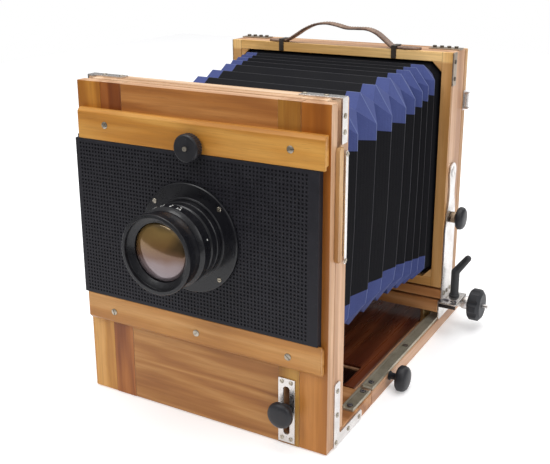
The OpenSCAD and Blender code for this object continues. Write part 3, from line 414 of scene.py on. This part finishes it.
LENS_BLACK = paint("lens_black", (0.006, 0.006, 0.008), (0.10, 0.10, 0.11), 0.28, 1400, 0.06, 0.25,
                   0.2, BARREL_Y, 8, 0.3)
BLACK_WOOD = paint("black_wood", (0.012, 0.011, 0.010), (0.05, 0.045, 0.04), 0.7, 500, 0.5, seed=9)
CLOTH_BLACK = cloth("bellows_black", (0.0042, 0.0042, 0.0060), (0.0085, 0.0085, 0.0115),
                    rough=0.62, sheen=0.0, seed=1, spec=0.12)
CLOTH_BLUE = cloth("bellows_blue", (0.044, 0.060, 0.190), (0.080, 0.104, 0.275), rough=0.68,
                   sheen=0.05, seed=2, spec=0.2)
# pale cloths for the thin strips on the ridges: painted highlights along the ridges
RIDGE_HIGHLIGHT_GREY = cloth("ridge_painted_highlight_grey", (0.020, 0.020, 0.025), (0.060, 0.060, 0.068), sheen=0.05, seed=3,
                    spec=0.2)
RIDGE_HIGHLIGHT_BLUE = cloth("ridge_painted_highlight_blue", (0.09, 0.12, 0.27), (0.17, 0.21, 0.38), sheen=0.1, seed=4)
STRAP = leather("strap_leather", (0.21, 0.120, 0.080), (0.37, 0.25, 0.18), (0.09, 0.046, 0.030))
THREAD = cloth("strap_thread", (0.30, 0.20, 0.12), (0.42, 0.30, 0.19), 3000, 0.8, 0.1, 0.2, 5)
MARK = marking("white_marks")
GLASS_PAINTED_REFLECTIONS = lens_coating("glass_painted_reflections")
GROUND = ground("ground_glass")

BROWN = ((0.34, 0.135, 0.040), (0.50, 0.225, 0.080), (0.62, 0.32, 0.135))
SAME = (1.0, 1.0, 1.0)
WOODS = {
    "base_board": wood("wood_base", BROWN, "X", 1.0),
    "tailboard": wood("wood_tailboard", PINK, "Y", 2.0, height_tint_and_shade=(0, 1, (0.86, 0.79, 0.78), SAME)),
    # the floor of the bed opening, below z 10.2 mm, is darkened almost to nothing: painted shade in
    # the opening
    "bed_panel": wood("wood_bed", BED, "Y", 3.0, gloss=0.28, coat=0.5, contrast=0.8, fleck=0.3,
                      height_tint_and_shade=(0.0102, 0.0118, (0.12, 0.12, 0.10), (1.09, 0.96, 0.86))),
    "front_frame": wood("wood_front_frame", PINK, "Z", 4.0, rails=0.108,
                        height_tint_and_shade=(0.345, 0.351, SAME, (1.12, 1.28, 1.42))),
    "side_guides": wood("wood_guides", HONEY, "Z", 5.0),
    "panel_strips": wood("wood_strips", CLARET, "Z", 6.0, contrast=0.9, right=OLIVE, side=PINK,
                         height_tint_and_shade=(0.10, 0.30, (1.09, 1.22, 1.20), (0.96, 0.90, 0.66))),
    "panel_centre": wood("wood_centre", CENTRE, "X", 7.0, figure=0.5, slant=0.16, width=1.5,
                         contrast=0.75, side=PINK,
                         height_tint_and_shade=(0.10, 0.30, (0.93, 0.95, 0.92), (1.10, 1.00, 0.86))),
    "clamp_bars": wood("wood_bars", BARW, "X", 8.0, figure=0.2, contrast=0.85, gloss=0.36,
                       height_tint_and_shade=(0.19, 0.21, (0.82, 0.80, 0.92), (1.06, 1.03, 0.85))),
    "carriage_board": wood("wood_carriage", BROWN, "X", 10.0, contrast=0.9),
    "swing_board": wood("wood_swing", BROWN, "X", 11.0, contrast=0.9),
    "rear_box": wood("wood_rear_box", PINK, "Z", 12.0, contrast=1.1, rails=0.138,
                     height_tint_and_shade=(0, 1, (0.90, 0.86, 0.84), SAME)),
    "rear_face_frame": wood("wood_rear_face", GOLD, "Z", 13.0, contrast=0.8, rails=0.1377,
                            height_tint_and_shade=(0.346, 0.349, (0.85, 0.75, 0.76), (1.36, 1.40, 1.55))),
    "back_frame": wood("wood_back", HONEY, "Z", 14.0, rails=0.119),
}
STILES = wood("wood_stiles", STILE_L, "Z", 9.0, contrast=0.9, right=STILE_R, side=PINK,
              height_tint_and_shade=(0.10, 0.30, (1.10, 1.20, 1.40), (1.02, 0.90, 0.54)))
BY_NODE = {
    "panel_stiles": STILES, "rear_corner_plates": CORNER_NICKEL_PAINTED_REFLECTION, "handle_loops": LOOP_STEEL,
    "rear_screws": SCREW_DARK, "carriage_plates": SHELF,
}
BY_SLOT = {
    "nickel": NICKEL, "rack_metal": RACK, "brass": BRASS, "screw_metal": SCREW,
    "board_black": PANEL_BLACK, "lens_black": LENS_BLACK, "bakelite": BAKELITE,
    "knob_black": KNOB, "lever_black": LEVER, "lens_coating": GLASS_PAINTED_REFLECTIONS, "ground_glass": GROUND,
    "bellows_cloth": CLOTH_BLACK, "black_wood": BLACK_WOOD, "strap_leather": STRAP,
}


def material_for(node):
    if node in WOODS:
        return WOODS[node]
    return BY_NODE.get(node) or BY_SLOT[SLOTS[node]]


# --------------------------------------------------------- carried-over CAD

BEVELS = {"wood": 0.9, "metal": 0.25, "screws": 0.12, "plastic": 0.35}  # mm
METAL_SLOTS = ("nickel", "rack_metal", "brass", "screw_metal")
TOOTHED = ("racks", "pinions")


def soften(obj, width, angle=34.0):
    """Weld, merge flat facets and round the edges of a CAD node."""
    for poly in obj.data.polygons:
        poly.use_smooth = True
    bpy.context.view_layer.objects.active = obj
    if obj.data.has_custom_normals:
        with bpy.context.temp_override(object=obj, active_object=obj, mesh=obj.data):
            bpy.ops.mesh.customdata_custom_splitnormals_clear()
    weld = obj.modifiers.new("weld", "WELD")
    weld.merge_threshold = 0.00001
    flat = obj.modifiers.new("flat", "DECIMATE")
    flat.decimate_type = "DISSOLVE"
    flat.angle_limit = math.radians(0.6)
    if width > 0:
        bev = obj.modifiers.new("bevel", "BEVEL")
        bev.width = width * MM
        bev.segments = 2
        bev.limit_method = "ANGLE"
        bev.angle_limit = math.radians(angle)
        bev.harden_normals = True
        bev.use_clamp_overlap = True
        bev.miter_outer = "MITER_ARC"


def dress_cad():
    """Material and rounded edges for every CAD node."""
    for name, obj in NODES.items():
        obj.data.materials.clear()
        obj.data.materials.append(material_for(name))
        slot = SLOTS[name]
        if name in TOOTHED:
            continue
        if "wood" in slot:
            soften(obj, BEVELS["wood"])
        elif slot in METAL_SLOTS:
            soften(obj, BEVELS["screws" if "screws" in name else "metal"])
        elif slot in ("lens_coating", "ground_glass"):
            soften(obj, 0.0)
        else:
            soften(obj, BEVELS["plastic"])


# ------------------------------------------------------------- mesh helpers

def make_object(name, verts, faces, mats, picks=None, smooth=False):
    mesh = bpy.data.meshes.new(name)
    mesh.from_pydata([tuple(v) for v in verts], [], faces)
    for m in mats:
        mesh.materials.append(m)
    if picks:
        mesh.polygons.foreach_set("material_index", picks)
    if smooth:
        mesh.polygons.foreach_set("use_smooth", [True] * len(faces))
    mesh.update()
    bm = bmesh.new()
    bm.from_mesh(mesh)
    bmesh.ops.remove_doubles(bm, verts=bm.verts, dist=1e-6)
    bmesh.ops.recalc_face_normals(bm, faces=bm.faces)
    bm.to_mesh(mesh)
    bm.free()
    obj = bpy.data.objects.new(name, mesh)
    bpy.context.scene.collection.objects.link(obj)
    return obj


# ------------------------------------------------------------------ bellows

# all in mm, in the tube's own frame
RIDGE_Y = (72, 115, 156, 191, 225, 247, 265, 280, 296)
HALF_W, TOP_Z, LOW_Z = (116.5, 20.5), (324.5, 22.5), (62, 16)  # at the front, growth to the back
DEPTH = 13.0  # of a fold
CUT_W, CUT_H = 20.0, 31.0  # corner cut at a ridge
CUT_W_LOSS, CUT_H_LOSS = 7.0, 18.0  # how much of it goes towards the back
TIGHT_Y = 225  # the folds close up behind this ridge
SKEW = 6.0
LEAN = 7.0
HIGHLIGHT_LIP = 1.1  # width of the painted highlight strip along a ridge
MIDDLE_PART, BACK_PART = 24.0, 32.0  # lengths of the two rear pieces; the front piece is the rest
BLUE_TOP, BLUE_HIGH, BLUE_LOW = 15.7, 17.5, 17.0  # reach of the blue cloth past the corner cut
BLUE_VALLEY = 4.4  # less of it in a valley
POINTS = 18
# outline points that start a blue corner piece
BLUE_SPANS = {1, 2, 3, 6, 7, 8, 10, 11, 12, 15, 16, 17}


def share(v, a, b):
    return max(0.0, min(1.0, (v - a) / (b - a)))


def ridge_cut(y, y1):
    """Width and height of the corner cut at a ridge."""
    k = share(y, TIGHT_Y, y1)
    return CUT_W - CUT_W_LOSS * k, CUT_H - CUT_H_LOSS * k


def bellows_outline(y, y0, y1, inset, cut, valley):
    """Points round the tube at depth y, with the edges of the corner pieces."""
    t = (y - y0) / (y1 - y0)
    full = HALF_W[0] + HALF_W[1] * t
    x = full - inset
    top = TOP_Z[0] + TOP_Z[1] * t - inset
    low = LOW_Z[0] + LOW_Z[1] * t + inset
    w, h = cut
    rw, rh = ridge_cut(y, y1)
    nearer = BLUE_VALLEY if valley else 0.0
    flat = full - rw - BLUE_TOP + nearer
    upper = top + inset - rh - BLUE_HIGH + nearer
    lower = low - inset + rh + BLUE_LOW - nearer
    lean = LEAN * share(y, y0, 120) * (1 - share(y, 240, y1))
    q = SKEW * share(y, y0, 120) * (1 - share(y, 230, y1))
    mid = (upper + lower) / 2
    right = [
        (flat, top), (x - w, top), (x, top - h), (x, upper), (x - lean * 0.22, mid),
        (x - lean * 0.72, lower), (x - lean, low + h), (x - lean - w, low), (flat - lean, low),
    ]
    ring = [(-flat, top)] + right + [(-px, pz) for px, pz in reversed(right[1:])]
    return [Vector((px, y - q * px / full, pz)) for px, pz in ring]


def bellows_stations(y0, y1):
    """(y, inset, corner cut, painted ridge highlight strip, valley) from the front end to the back
    end, in mm.
    """
    rows = [(y0, 5.0, (6.0, 8.0), False, True)]
    ends = list(RIDGE_Y) + [y1]
    for n, y in enumerate(RIDGE_Y):
        cut = ridge_cut(y, y1)
        half = HIGHLIGHT_LIP / 2 * (1 - 0.45 * share(y, TIGHT_Y, y1))
        rows.append((y - half, 0.0, cut, True, False))
        rows.append((y + half, 0.0, cut, False, False))
        last = n == len(RIDGE_Y) - 1
        small = (4.0, 4.0) if last else (1.0, 1.0)
        rows.append(((y + ends[n + 1]) / 2, 8.0 if last else DEPTH, small, False, True))
    rows.append((y1, 0.0, (14.0, 14.0), False, False))
    return rows


def build_bellows():
    """Pleated tube in three pieces, one for each joint that it crosses."""
    lo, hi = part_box("bellows")
    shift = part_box("panel_centre")[0].y / MM
    y0, y1 = lo.y / MM - shift, hi.y / MM - shift
    rows = bellows_stations(y0, y1)
    marks = [y1 - BACK_PART - MIDDLE_PART, y1 - BACK_PART]
    cuts = [min(range(len(rows)), key=lambda i: abs(rows[i][0] - m)) for m in marks]
    spans = [(0, cuts[0]), (cuts[0], cuts[1]), (cuts[1], len(rows) - 1)]
    names = ["bellows_front", "bellows_middle", "bellows_back"]
    pairs = [("bed", "carriage"), ("carriage", "swing"), ("swing", "rear_standard")]
    for name, (a, b), pair in zip(names, spans, pairs):
        verts, faces, picks = [], [], []
        for i in range(a, b + 1):
            y, inset, cut, _, valley = rows[i]
            for v in bellows_outline(y, y0, y1, inset, cut, valley):
                verts.append(Vector((v.x, v.y + shift, v.z)) * MM)
        for i in range(b - a):
            highlight_lip = rows[a + i][3]
            for k in range(POINTS):
                m = (k + 1) % POINTS
                near, far = POINTS * i, POINTS * (i + 1)
                faces.append((near + k, near + m, far + m, far + k))
                blue = k in BLUE_SPANS and a + i < len(rows) - 2
                # the ridge strips take the pale cloths, which paint a highlight along each ridge
                picks.append(2 * highlight_lip + blue)
        obj = make_object(name, verts, faces, [CLOTH_BLACK, CLOTH_BLUE, RIDGE_HIGHLIGHT_GREY, RIDGE_HIGHLIGHT_BLUE],
                          picks)
        thick = obj.modifiers.new("thickness", "SOLIDIFY")
        thick.thickness = 0.9 * MM
        thick.offset = -1.0
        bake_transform(obj)
    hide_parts("bellows")


# --------------------------------------------------------------- lens board

PITCH = 3.94 * MM
HOLE = 2.2 * MM
HOLE_DEPTH = 1.1 * MM
BORDER_LEFT = 4.5 * MM
BORDER_RIGHT = 10.5 * MM
BORDER_Z = 2.5 * MM
TONGUE = 3.2 * MM  # height of the tongues under the bars
TONGUE_STEP = 4 * MM  # how far they lie behind the face
CLEAR_RIM = 9 * MM  # the holes run this far in under the lens flange


def build_lens_board():
    """Painted board punched with a grid of small square holes, plain in a disc inside the lens
    flange.
    """
    lo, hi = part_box("lens_board")
    fl_lo, fl_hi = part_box("lens_flange")
    cx, cz = (fl_lo.x + fl_hi.x) / 2, (fl_lo.z + fl_hi.z) / 2
    clear = (fl_hi.x - fl_lo.x) / 2 - CLEAR_RIM
    # the face shown between the bars; the tongues above and below it run under them
    face_z0, face_z1 = lo.z + TONGUE, hi.z - TONGUE
    x0, x1 = lo.x + BORDER_LEFT, hi.x - BORDER_RIGHT
    nx = int((x1 - x0) / PITCH)
    nz = int((face_z1 - face_z0 - 2 * BORDER_Z) / PITCH)
    x0 += ((x1 - x0) - nx * PITCH) / 2
    gz0 = face_z0 + ((face_z1 - face_z0) - nz * PITCH) / 2
    y = lo.y
    verts, faces = [], []

    def quad(pts):
        base = len(verts)
        verts.extend(pts)
        faces.append(tuple(range(base, base + len(pts))))

    h = HOLE / 2
    for i in range(nx):
        for j in range(nz):
            ax, az = x0 + i * PITCH, gz0 + j * PITCH
            bx, bz = ax + PITCH, az + PITCH
            mx, mz = (ax + bx) / 2, (az + bz) / 2
            outer = [(ax, az), (bx, az), (bx, bz), (ax, bz)]
            if math.hypot(mx - cx, mz - cz) < clear:
                quad([(p[0], y, p[1]) for p in outer])
                continue
            inner = [(mx - h, mz - h), (mx + h, mz - h), (mx + h, mz + h), (mx - h, mz + h)]
            for k in range(4):
                m = (k + 1) % 4
                quad([(outer[k][0], y, outer[k][1]), (outer[m][0], y, outer[m][1]),
                      (inner[m][0], y, inner[m][1]), (inner[k][0], y, inner[k][1])])
                quad([(inner[k][0], y, inner[k][1]), (inner[m][0], y, inner[m][1]),
                      (inner[m][0], y + HOLE_DEPTH, inner[m][1]),
                      (inner[k][0], y + HOLE_DEPTH, inner[k][1])])
            quad([(p[0], y + HOLE_DEPTH, p[1]) for p in inner])
    gx1, gz1 = x0 + nx * PITCH, gz0 + nz * PITCH
    # plain borders, split at every grid line so that the mesh closes
    xs = [x0 + i * PITCH for i in range(nx + 1)]
    zs = [gz0 + j * PITCH for j in range(nz + 1)]
    for a, b in zip(xs, xs[1:]):
        quad([(a, y, face_z0), (b, y, face_z0), (b, y, gz0), (a, y, gz0)])
        quad([(a, y, gz1), (b, y, gz1), (b, y, face_z1), (a, y, face_z1)])
    for a, b in zip(zs, zs[1:]):
        quad([(lo.x, y, a), (x0, y, a), (x0, y, b), (lo.x, y, b)])
        quad([(gx1, y, a), (hi.x, y, a), (hi.x, y, b), (gx1, y, b)])
    for ax, bx in ((lo.x, x0), (gx1, hi.x)):
        for az, bz in ((face_z0, gz0), (gz1, face_z1)):
            quad([(ax, y, az), (bx, y, az), (bx, y, bz), (ax, y, bz)])
    # edges, tongues and back, following the same split
    back = hi.y
    step = lo.y + TONGUE_STEP
    rim_x = [lo.x] + xs + [hi.x]
    rim_z = [face_z0] + zs + [face_z1]
    for a, b in zip(rim_x, rim_x[1:]):
        for z, t in ((face_z0, lo.z), (face_z1, hi.z)):
            quad([(a, y, z), (b, y, z), (b, step, z), (a, step, z)])
            quad([(a, step, z), (b, step, z), (b, step, t), (a, step, t)])
            quad([(a, step, t), (b, step, t), (b, back, t), (a, back, t)])
    for x in (lo.x, hi.x):
        for a, b in zip(rim_z, rim_z[1:]):
            quad([(x, y, a), (x, y, b), (x, step, b), (x, step, a)])
            quad([(x, step, a), (x, step, b), (x, back, b), (x, back, a)])
        for z, t in ((face_z0, lo.z), (face_z1, hi.z)):
            quad([(x, step, z), (x, step, t), (x, back, t), (x, back, z)])
    rows = [lo.z] + rim_z + [hi.z]
    for a, b in zip(rim_x, rim_x[1:]):
        for c, d in zip(rows, rows[1:]):
            quad([(a, back, c), (b, back, c), (b, back, d), (a, back, d)])
    board = make_object("lens_board_punched", verts, faces, [PANEL_BLACK])
    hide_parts("lens_board")
    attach(board, "lens_slide")


# -------------------------------------------------------------------- strap

def spline(points, steps):
    """Catmull-Rom curve through the points."""
    out = []
    pts = [2 * points[0] - points[1]] + list(points) + [2 * points[-1] - points[-2]]
    for i in range(1, len(pts) - 2):
        p0, p1, p2, p3 = pts[i - 1:i + 3]
        for k in range(steps):
            t = k / steps
            out.append(0.5 * (2 * p1 + (p2 - p0) * t + (2 * p0 - 5 * p1 + 4 * p2 - p3) * t * t
                              + (3 * p1 - p0 - 3 * p2 + p3) * t ** 3))
    out.append(Vector(points[-1]))
    return out


# (X, height above the top of the rear box) along the strap, in mm
STRAP_PATH = [
    (-97, 0.5), (-86, 0.5), (-75, 0.7), (-68, 3.0), (-58, 9), (-46, 16.5), (-32, 22.6), (-16, 25.0),
    (-2, 23.4), (12, 20.4), (26, 20.4), (40, 20.2), (52, 16), (63, 8), (71, 1.8), (75, 0.8),
    (82, 0.6), (94, 0.5), (108, 0.5),
]
STRAP_THICK = 2.5 * MM
LOOP_X = 0.077  # the strap is pinched in its loops
STITCH_R = 0.35 * MM


def build_strap():
    """Bowed leather strap, narrowed at its ends, with a row of stitches by each edge."""
    lo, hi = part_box("handle_strap")
    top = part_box("rear_box")[1].z
    yc, half = (lo.y + hi.y) / 2, (hi.y - lo.y) / 2
    path = spline([Vector((x * MM, 0, top + z * MM)) for x, z in STRAP_PATH], 8)
    n = len(path)
    across = [(-1, 0.0), (-1, 0.75), (-0.9, 0.98), (-0.55, 1.04), (0, 1.08), (0.55, 1.04),
              (0.9, 0.98), (1, 0.75), (1, 0.0), (0.9, -0.06), (0, -0.02), (-0.9, -0.06)]
    m = len(across)
    verts, faces = [], []
    for i, p in enumerate(path):
        d = (path[min(i + 1, n - 1)] - path[max(i - 1, 0)]).normalized()
        up = Vector((-d.z, 0, d.x))
        u = min(i, n - 1 - i) / 7.0
        w = half * (0.45 + 0.55 * math.sin(min(u, 1.0) * math.pi / 2))
        w *= 1.0 - 0.10 * math.exp(-((abs(p.x) - LOOP_X) / 0.006) ** 2)
        for a, h in across:
            verts.append(p + Vector((0, yc + a * w, 0)) + up * (h * STRAP_THICK))
    for i in range(n - 1):
        for k in range(m):
            q = (k + 1) % m
            faces.append((i * m + k, i * m + q, (i + 1) * m + q, (i + 1) * m + k))
    faces.append(tuple(range(m)))
    faces.append(tuple(reversed(range((n - 1) * m, n * m))))
    strap = make_object("strap_body", verts, faces, [STRAP], smooth=True)
    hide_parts("handle_strap")
    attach(strap, "rear_standard")
    verts, faces = [], []
    steps = 6
    for i in range(4, n - 5, 2):
        a, b = path[i], path[i + 1]
        d = (b - a).normalized()
        up = Vector((-d.z, 0, d.x))
        for s in (-1, 1):
            base = len(verts)
            for e in (a.lerp(b, 0.1), a.lerp(b, 0.95)):
                c = e + Vector((0, yc + s * half * 0.78, 0)) + up * (STRAP_THICK * 1.02)
                for k in range(steps):
                    t = 2 * math.pi * k / steps
                    verts.append(c + Vector((0, math.cos(t) * STITCH_R, 0))
                                 + up * (math.sin(t) * STITCH_R))
            for k in range(steps):
                q = (k + 1) % steps
                faces.append((base + k, base + q, base + steps + q, base + steps + k))
            faces.append(tuple(base + k for k in range(steps)))
            faces.append(tuple(base + steps + k for k in reversed(range(steps))))
    stitches = make_object("strap_stitches", verts, faces, [THREAD], smooth=True)
    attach(stitches, "rear_standard")


# ------------------------------------------------------------ small fittings

RING_CHAMFER = 0.4 * MM
FOCUS_COLLAR_X = 0.1655


def knurled_ring(name, centre, sign, radii, ends, mat, body, teeth=36, depth=0.35 * MM):
    """Ring about X, pointing to the side of sign, with shallow teeth round its outside.

    radii: inner and outer; ends: distances of its two faces from centre.
    """
    (r_in, r_out), (h0, h1) = radii, ends
    profile = [(r_in, h0), (r_out - RING_CHAMFER, h0), (r_out, h0 + RING_CHAMFER),
               (r_out, h1 - RING_CHAMFER), (r_out - RING_CHAMFER, h1), (r_in, h1)]
    centre = Vector(centre)
    place = Matrix.Translation(centre) @ Matrix.Rotation(sign * math.pi / 2, 4, "Y")
    n, steps = len(profile), teeth * 4
    verts, faces = [], []
    for i in range(steps):
        a = 2 * math.pi * i / steps
        j = (i + 1) % steps
        for k, (r, h) in enumerate(profile):
            m = (k + 1) % n
            verts.append(place @ Vector((r * math.cos(a), r * math.sin(a), h)))
            faces.append((i * n + k, i * n + m, j * n + m, j * n + k))
    obj = make_object(name, verts, faces, [mat], smooth=True)
    line = Vector((1, 0, 0))
    other = line.orthogonal()
    third = line.cross(other)
    for v in obj.data.vertices:
        d = v.co - centre
        flat = d - line * d.dot(line)
        if flat.length > (r_in + r_out) / 2 + 0.1 * MM:
            a = math.atan2(flat.dot(third), flat.dot(other))
            v.co -= flat.normalized() * depth * (0.5 + 0.5 * math.cos(a * teeth))
    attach(obj, body)


def build_collars():
    """Knurled collars behind the tilt knobs and the focus knobs."""
    shaft = sum(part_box("pinion_shaft"), Vector()) / 2
    for side, sign in (("right", 1), ("left", -1)):
        lo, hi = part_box("tilt_knob_" + side)
        c = (lo + hi) / 2
        x = lo.x if sign > 0 else hi.x
        knurled_ring("tilt_collar_" + side, (x, c.y, c.z), sign, (5.0 * MM, 6.9 * MM),
                     (0.2 * MM, 7.0 * MM), COLLAR_BROWN, "tilt_clamp_" + side)
    for side, sign in (("right", 1), ("left", -1)):
        knurled_ring("focus_collar_" + side, (sign * FOCUS_COLLAR_X, shaft.y, shaft.z), sign,
                     (7.8 * MM, 8.5 * MM), (0.3 * MM, 8.0 * MM), NICKEL, "focus_pinion", 44,
                     0.3 * MM)


RACK_SCREW_X = 0.1378
RACK_SCREW_R = 2.7 * MM


def build_rack_screws():
    """Countersunk slotted screws set in the geared strips."""
    lo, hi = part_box("racks")
    # none where the pinions roll
    spots = [lo.y + 6 * MM, lo.y + 39 * MM, lo.y + 62 * MM, lo.y + 164 * MM, hi.y - 12 * MM]
    seat = RACK_SCREW_R + 0.5 * MM
    rings = [(seat, -0.6 * MM), (seat, 0.05 * MM), (RACK_SCREW_R, 0.05 * MM),
             (RACK_SCREW_R - 0.05 * MM, 0.32 * MM), (RACK_SCREW_R - 0.7 * MM, 0.42 * MM)]
    steps = 24
    slot_l, slot_w = 2.1 * MM, 0.42 * MM
    verts, faces, picks = [], [], []
    for sx in (-1, 1):
        for idx, y in enumerate(spots):
            cx = sx * RACK_SCREW_X
            base = len(verts)
            for r, h in rings:
                for k in range(steps):
                    a = 2 * math.pi * k / steps
                    verts.append((cx + r * math.cos(a), y + r * math.sin(a), hi.z + h))
            for q in range(len(rings) - 1):
                low, high = base + q * steps, base + (q + 1) * steps
                for k in range(steps):
                    m = (k + 1) % steps
                    faces.append((low + k, low + m, high + m, high + k))
                    # the wall and step round each head take the dark paint: painted shade in the gap
                    # round the head
                    picks.append(1 if q < 2 else 0)
            faces.append(tuple(high + k for k in range(steps)))
            faces.append(tuple(base + k for k in reversed(range(steps))))
            picks += [0, 1]
            # the slot is a thin dark bar standing on the head: painted shade in place of the recess
            # slot, turned differently from screw to screw
            a = 0.5 + idx * 0.9
            dx, dy = math.cos(a), math.sin(a)
            s = len(verts)
            for z in (hi.z + 0.30 * MM, hi.z + 0.46 * MM):
                for u, v in ((-1, -1), (1, -1), (1, 1), (-1, 1)):
                    u, v = u * slot_l, v * slot_w
                    verts.append((cx + u * dx - v * dy, y + u * dy + v * dx, z))
            for f in ((0, 1, 2, 3), (4, 5, 6, 7), (0, 1, 5, 4), (1, 2, 6, 5), (2, 3, 7, 6),
                      (3, 0, 4, 7)):
                faces.append(tuple(s + q for q in f))
                picks.append(1)
    obj = make_object("rack_screws", verts, faces, [SCREW, PANEL_BLACK], picks)
    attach(obj, "bed")


STOPS = ("32", "22", "16", "11", "8", "5.6")
FIRST_STOP, STOP_STEP, INDEX_DOT = -56, 14, 72  # degrees from the top
STOP_SIZE, DOT_R = 4.2 * MM, 0.75 * MM
STOPS_Y, DOTS_Y = 31.0 * MM, 27.2 * MM  # in front of the lens board


def on_ring(centre, degrees, radius):
    """Point on a ring about the lens axis, with the directions out of it and along it."""
    a = math.radians(degrees)
    out = Vector((math.sin(a), 0, math.cos(a)))
    right = Vector((math.cos(a), 0, -math.sin(a)))
    return centre + out * radius, out, right


def stop_mark(name, number, place):
    """One raised number on the setting ring."""
    curve = bpy.data.curves.new(name, "FONT")
    curve.body = number
    curve.size = STOP_SIZE
    curve.extrude = 0.12 * MM
    curve.align_x = "CENTER"
    curve.align_y = "CENTER"
    temp = bpy.data.objects.new(name + "_tmp", curve)
    bpy.context.scene.collection.objects.link(temp)
    bpy.context.view_layer.update()
    dg = bpy.context.evaluated_depsgraph_get()
    mesh = bpy.data.meshes.new_from_object(temp.evaluated_get(dg))
    bpy.data.objects.remove(temp)
    mesh.transform(place)
    mesh.materials.clear()
    mesh.materials.append(MARK)
    obj = bpy.data.objects.new(name, mesh)
    bpy.context.scene.collection.objects.link(obj)
    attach(obj, "aperture")


def build_lens_marks():
    """Stop numbers and dots on the setting ring."""
    lo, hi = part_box("aperture_ring")
    ring = (hi.x - lo.x) / 2
    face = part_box("lens_board")[0].y
    c = Vector(((lo.x + hi.x) / 2, 0, (lo.z + hi.z) / 2))
    angles = [FIRST_STOP + i * STOP_STEP for i in range(len(STOPS))]
    for i, (number, degrees) in enumerate(zip(STOPS, angles)):
        pos, out, right = on_ring(c, degrees, ring + 0.05 * MM)
        pos.y = face - STOPS_Y
        place = Matrix((right, (0, 1, 0), out)).transposed().to_4x4()
        place.translation = pos
        stop_mark("stop_mark_%d" % i, number, place)
    verts, faces = [], []
    steps = 12
    for degrees in angles + [INDEX_DOT]:
        pos, out, right = on_ring(c, degrees, ring - 0.1 * MM)
        pos.y = face - DOTS_Y
        base = len(verts)
        for h in (0.0, 0.22 * MM):
            for k in range(steps):
                t = 2 * math.pi * k / steps
                verts.append(pos + out * h + right * (DOT_R * math.cos(t))
                             + Vector((0, DOT_R * math.sin(t), 0)))
        for k in range(steps):
            m = (k + 1) % steps
            faces.append((base + k, base + m, base + steps + m, base + steps + k))
        faces.append(tuple(base + k for k in reversed(range(steps))))
        faces.append(tuple(base + steps + k for k in range(steps)))
    dots = make_object("stop_dots", verts, faces, [MARK])
    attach(dots, "aperture")


# -------------------------------------------------------------------- stage

def build_stage():
    """White floor, white backdrop and four soft lamps."""
    g = Graph("stage_white")
    cloud = g.noise(g.mapping((0.8, 0.8, 0.8)), 1.0, 2.0)
    g.set(Base_Color=g.mix(cloud, (0.84, 0.84, 0.85), (0.88, 0.88, 0.89)), Roughness=0.9,
          Emission_Color=(1.0, 1.0, 1.0), Emission_Strength=0.30)
    x, near, far = 2.2, -0.62, 3.0
    floor = make_object("floor", [(-x, near, 0), (x, near, 0), (x, far, 0), (-x, far, 0)],
                        [(0, 1, 2, 3)], [g.mat])
    world = bpy.data.worlds.new("studio")
    bpy.context.scene.world = world
    world.use_nodes = True
    tree = world.node_tree
    back = tree.nodes["Background"]
    back.inputs[0].default_value = (1.0, 1.0, 1.0, 1)
    # the backdrop is seen white; the light it gives comes mostly from above
    coord = tree.nodes.new("ShaderNodeTexCoord")
    split = tree.nodes.new("ShaderNodeSeparateXYZ")
    tree.links.new(coord.outputs["Generated"], split.inputs[0])
    height = tree.nodes.new("ShaderNodeMapRange")
    tree.links.new(split.outputs[2], height.inputs[0])
    for key, value in (("From Min", -0.05), ("From Max", 0.9), ("To Min", 0.10), ("To Max", 0.85)):
        height.inputs[key].default_value = value
    path = tree.nodes.new("ShaderNodeLightPath")
    pick = tree.nodes.new("ShaderNodeMix")
    tree.links.new(path.outputs["Is Camera Ray"], pick.inputs[0])
    tree.links.new(height.outputs[0], pick.inputs[2])
    pick.inputs[3].default_value = 1.0
    tree.links.new(pick.outputs[0], back.inputs[1])
    lights = [
        ("key", (-0.9, -2.0, 2.4), (0.0, 0.1, 0.18), 1.4, 30),
        ("side", (2.3, -0.9, 1.5), (0.0, 0.1, 0.2), 1.6, 16),
        ("top", (0.1, 0.3, 2.6), (0.0, 0.12, 0.15), 2.0, 34),
        ("back", (0.6, 2.6, 1.6), (0.0, 0.2, 0.2), 2.0, 12),
    ]
    for name, where, at, size, power in lights:
        data = bpy.data.lights.new(name, "AREA")
        data.energy = power
        data.size = size
        obj = bpy.data.objects.new(name, data)
        bpy.context.scene.collection.objects.link(obj)
        obj.location = where
        obj.rotation_euler = (Vector(at) - Vector(where)).to_track_quat("-Z", "Y").to_euler()


def build_camera():
    """The viewpoint, solved from straight edges of the part in the shared frame."""
    data = bpy.data.cameras.new("camera")
    cam = bpy.data.objects.new("camera", data)
    bpy.context.scene.collection.objects.link(cam)
    data.sensor_width = 36.0
    data.lens = 56.80
    data.shift_x = 0.0111
    data.shift_y = -0.0748
    data.clip_start, data.clip_end = 0.05, 50
    yaw, pitch, roll = math.radians(29.90), math.radians(16.45), math.radians(-0.27)
    cam.matrix_world = (
        Matrix.Translation((0.4679, -0.7414, 0.4917)) @ Matrix.Rotation(yaw, 4, "Z")
        @ Matrix.Rotation(math.pi / 2 - pitch, 4, "X") @ Matrix.Rotation(roll, 4, "Z")
    )
    bpy.context.scene.camera = cam
    bpy.context.scene.view_settings.view_transform = "Standard"


dress_cad()
build_bellows()
build_lens_board()
build_strap()
build_collars()
build_rack_screws()
build_lens_marks()
build_stage()
build_camera()
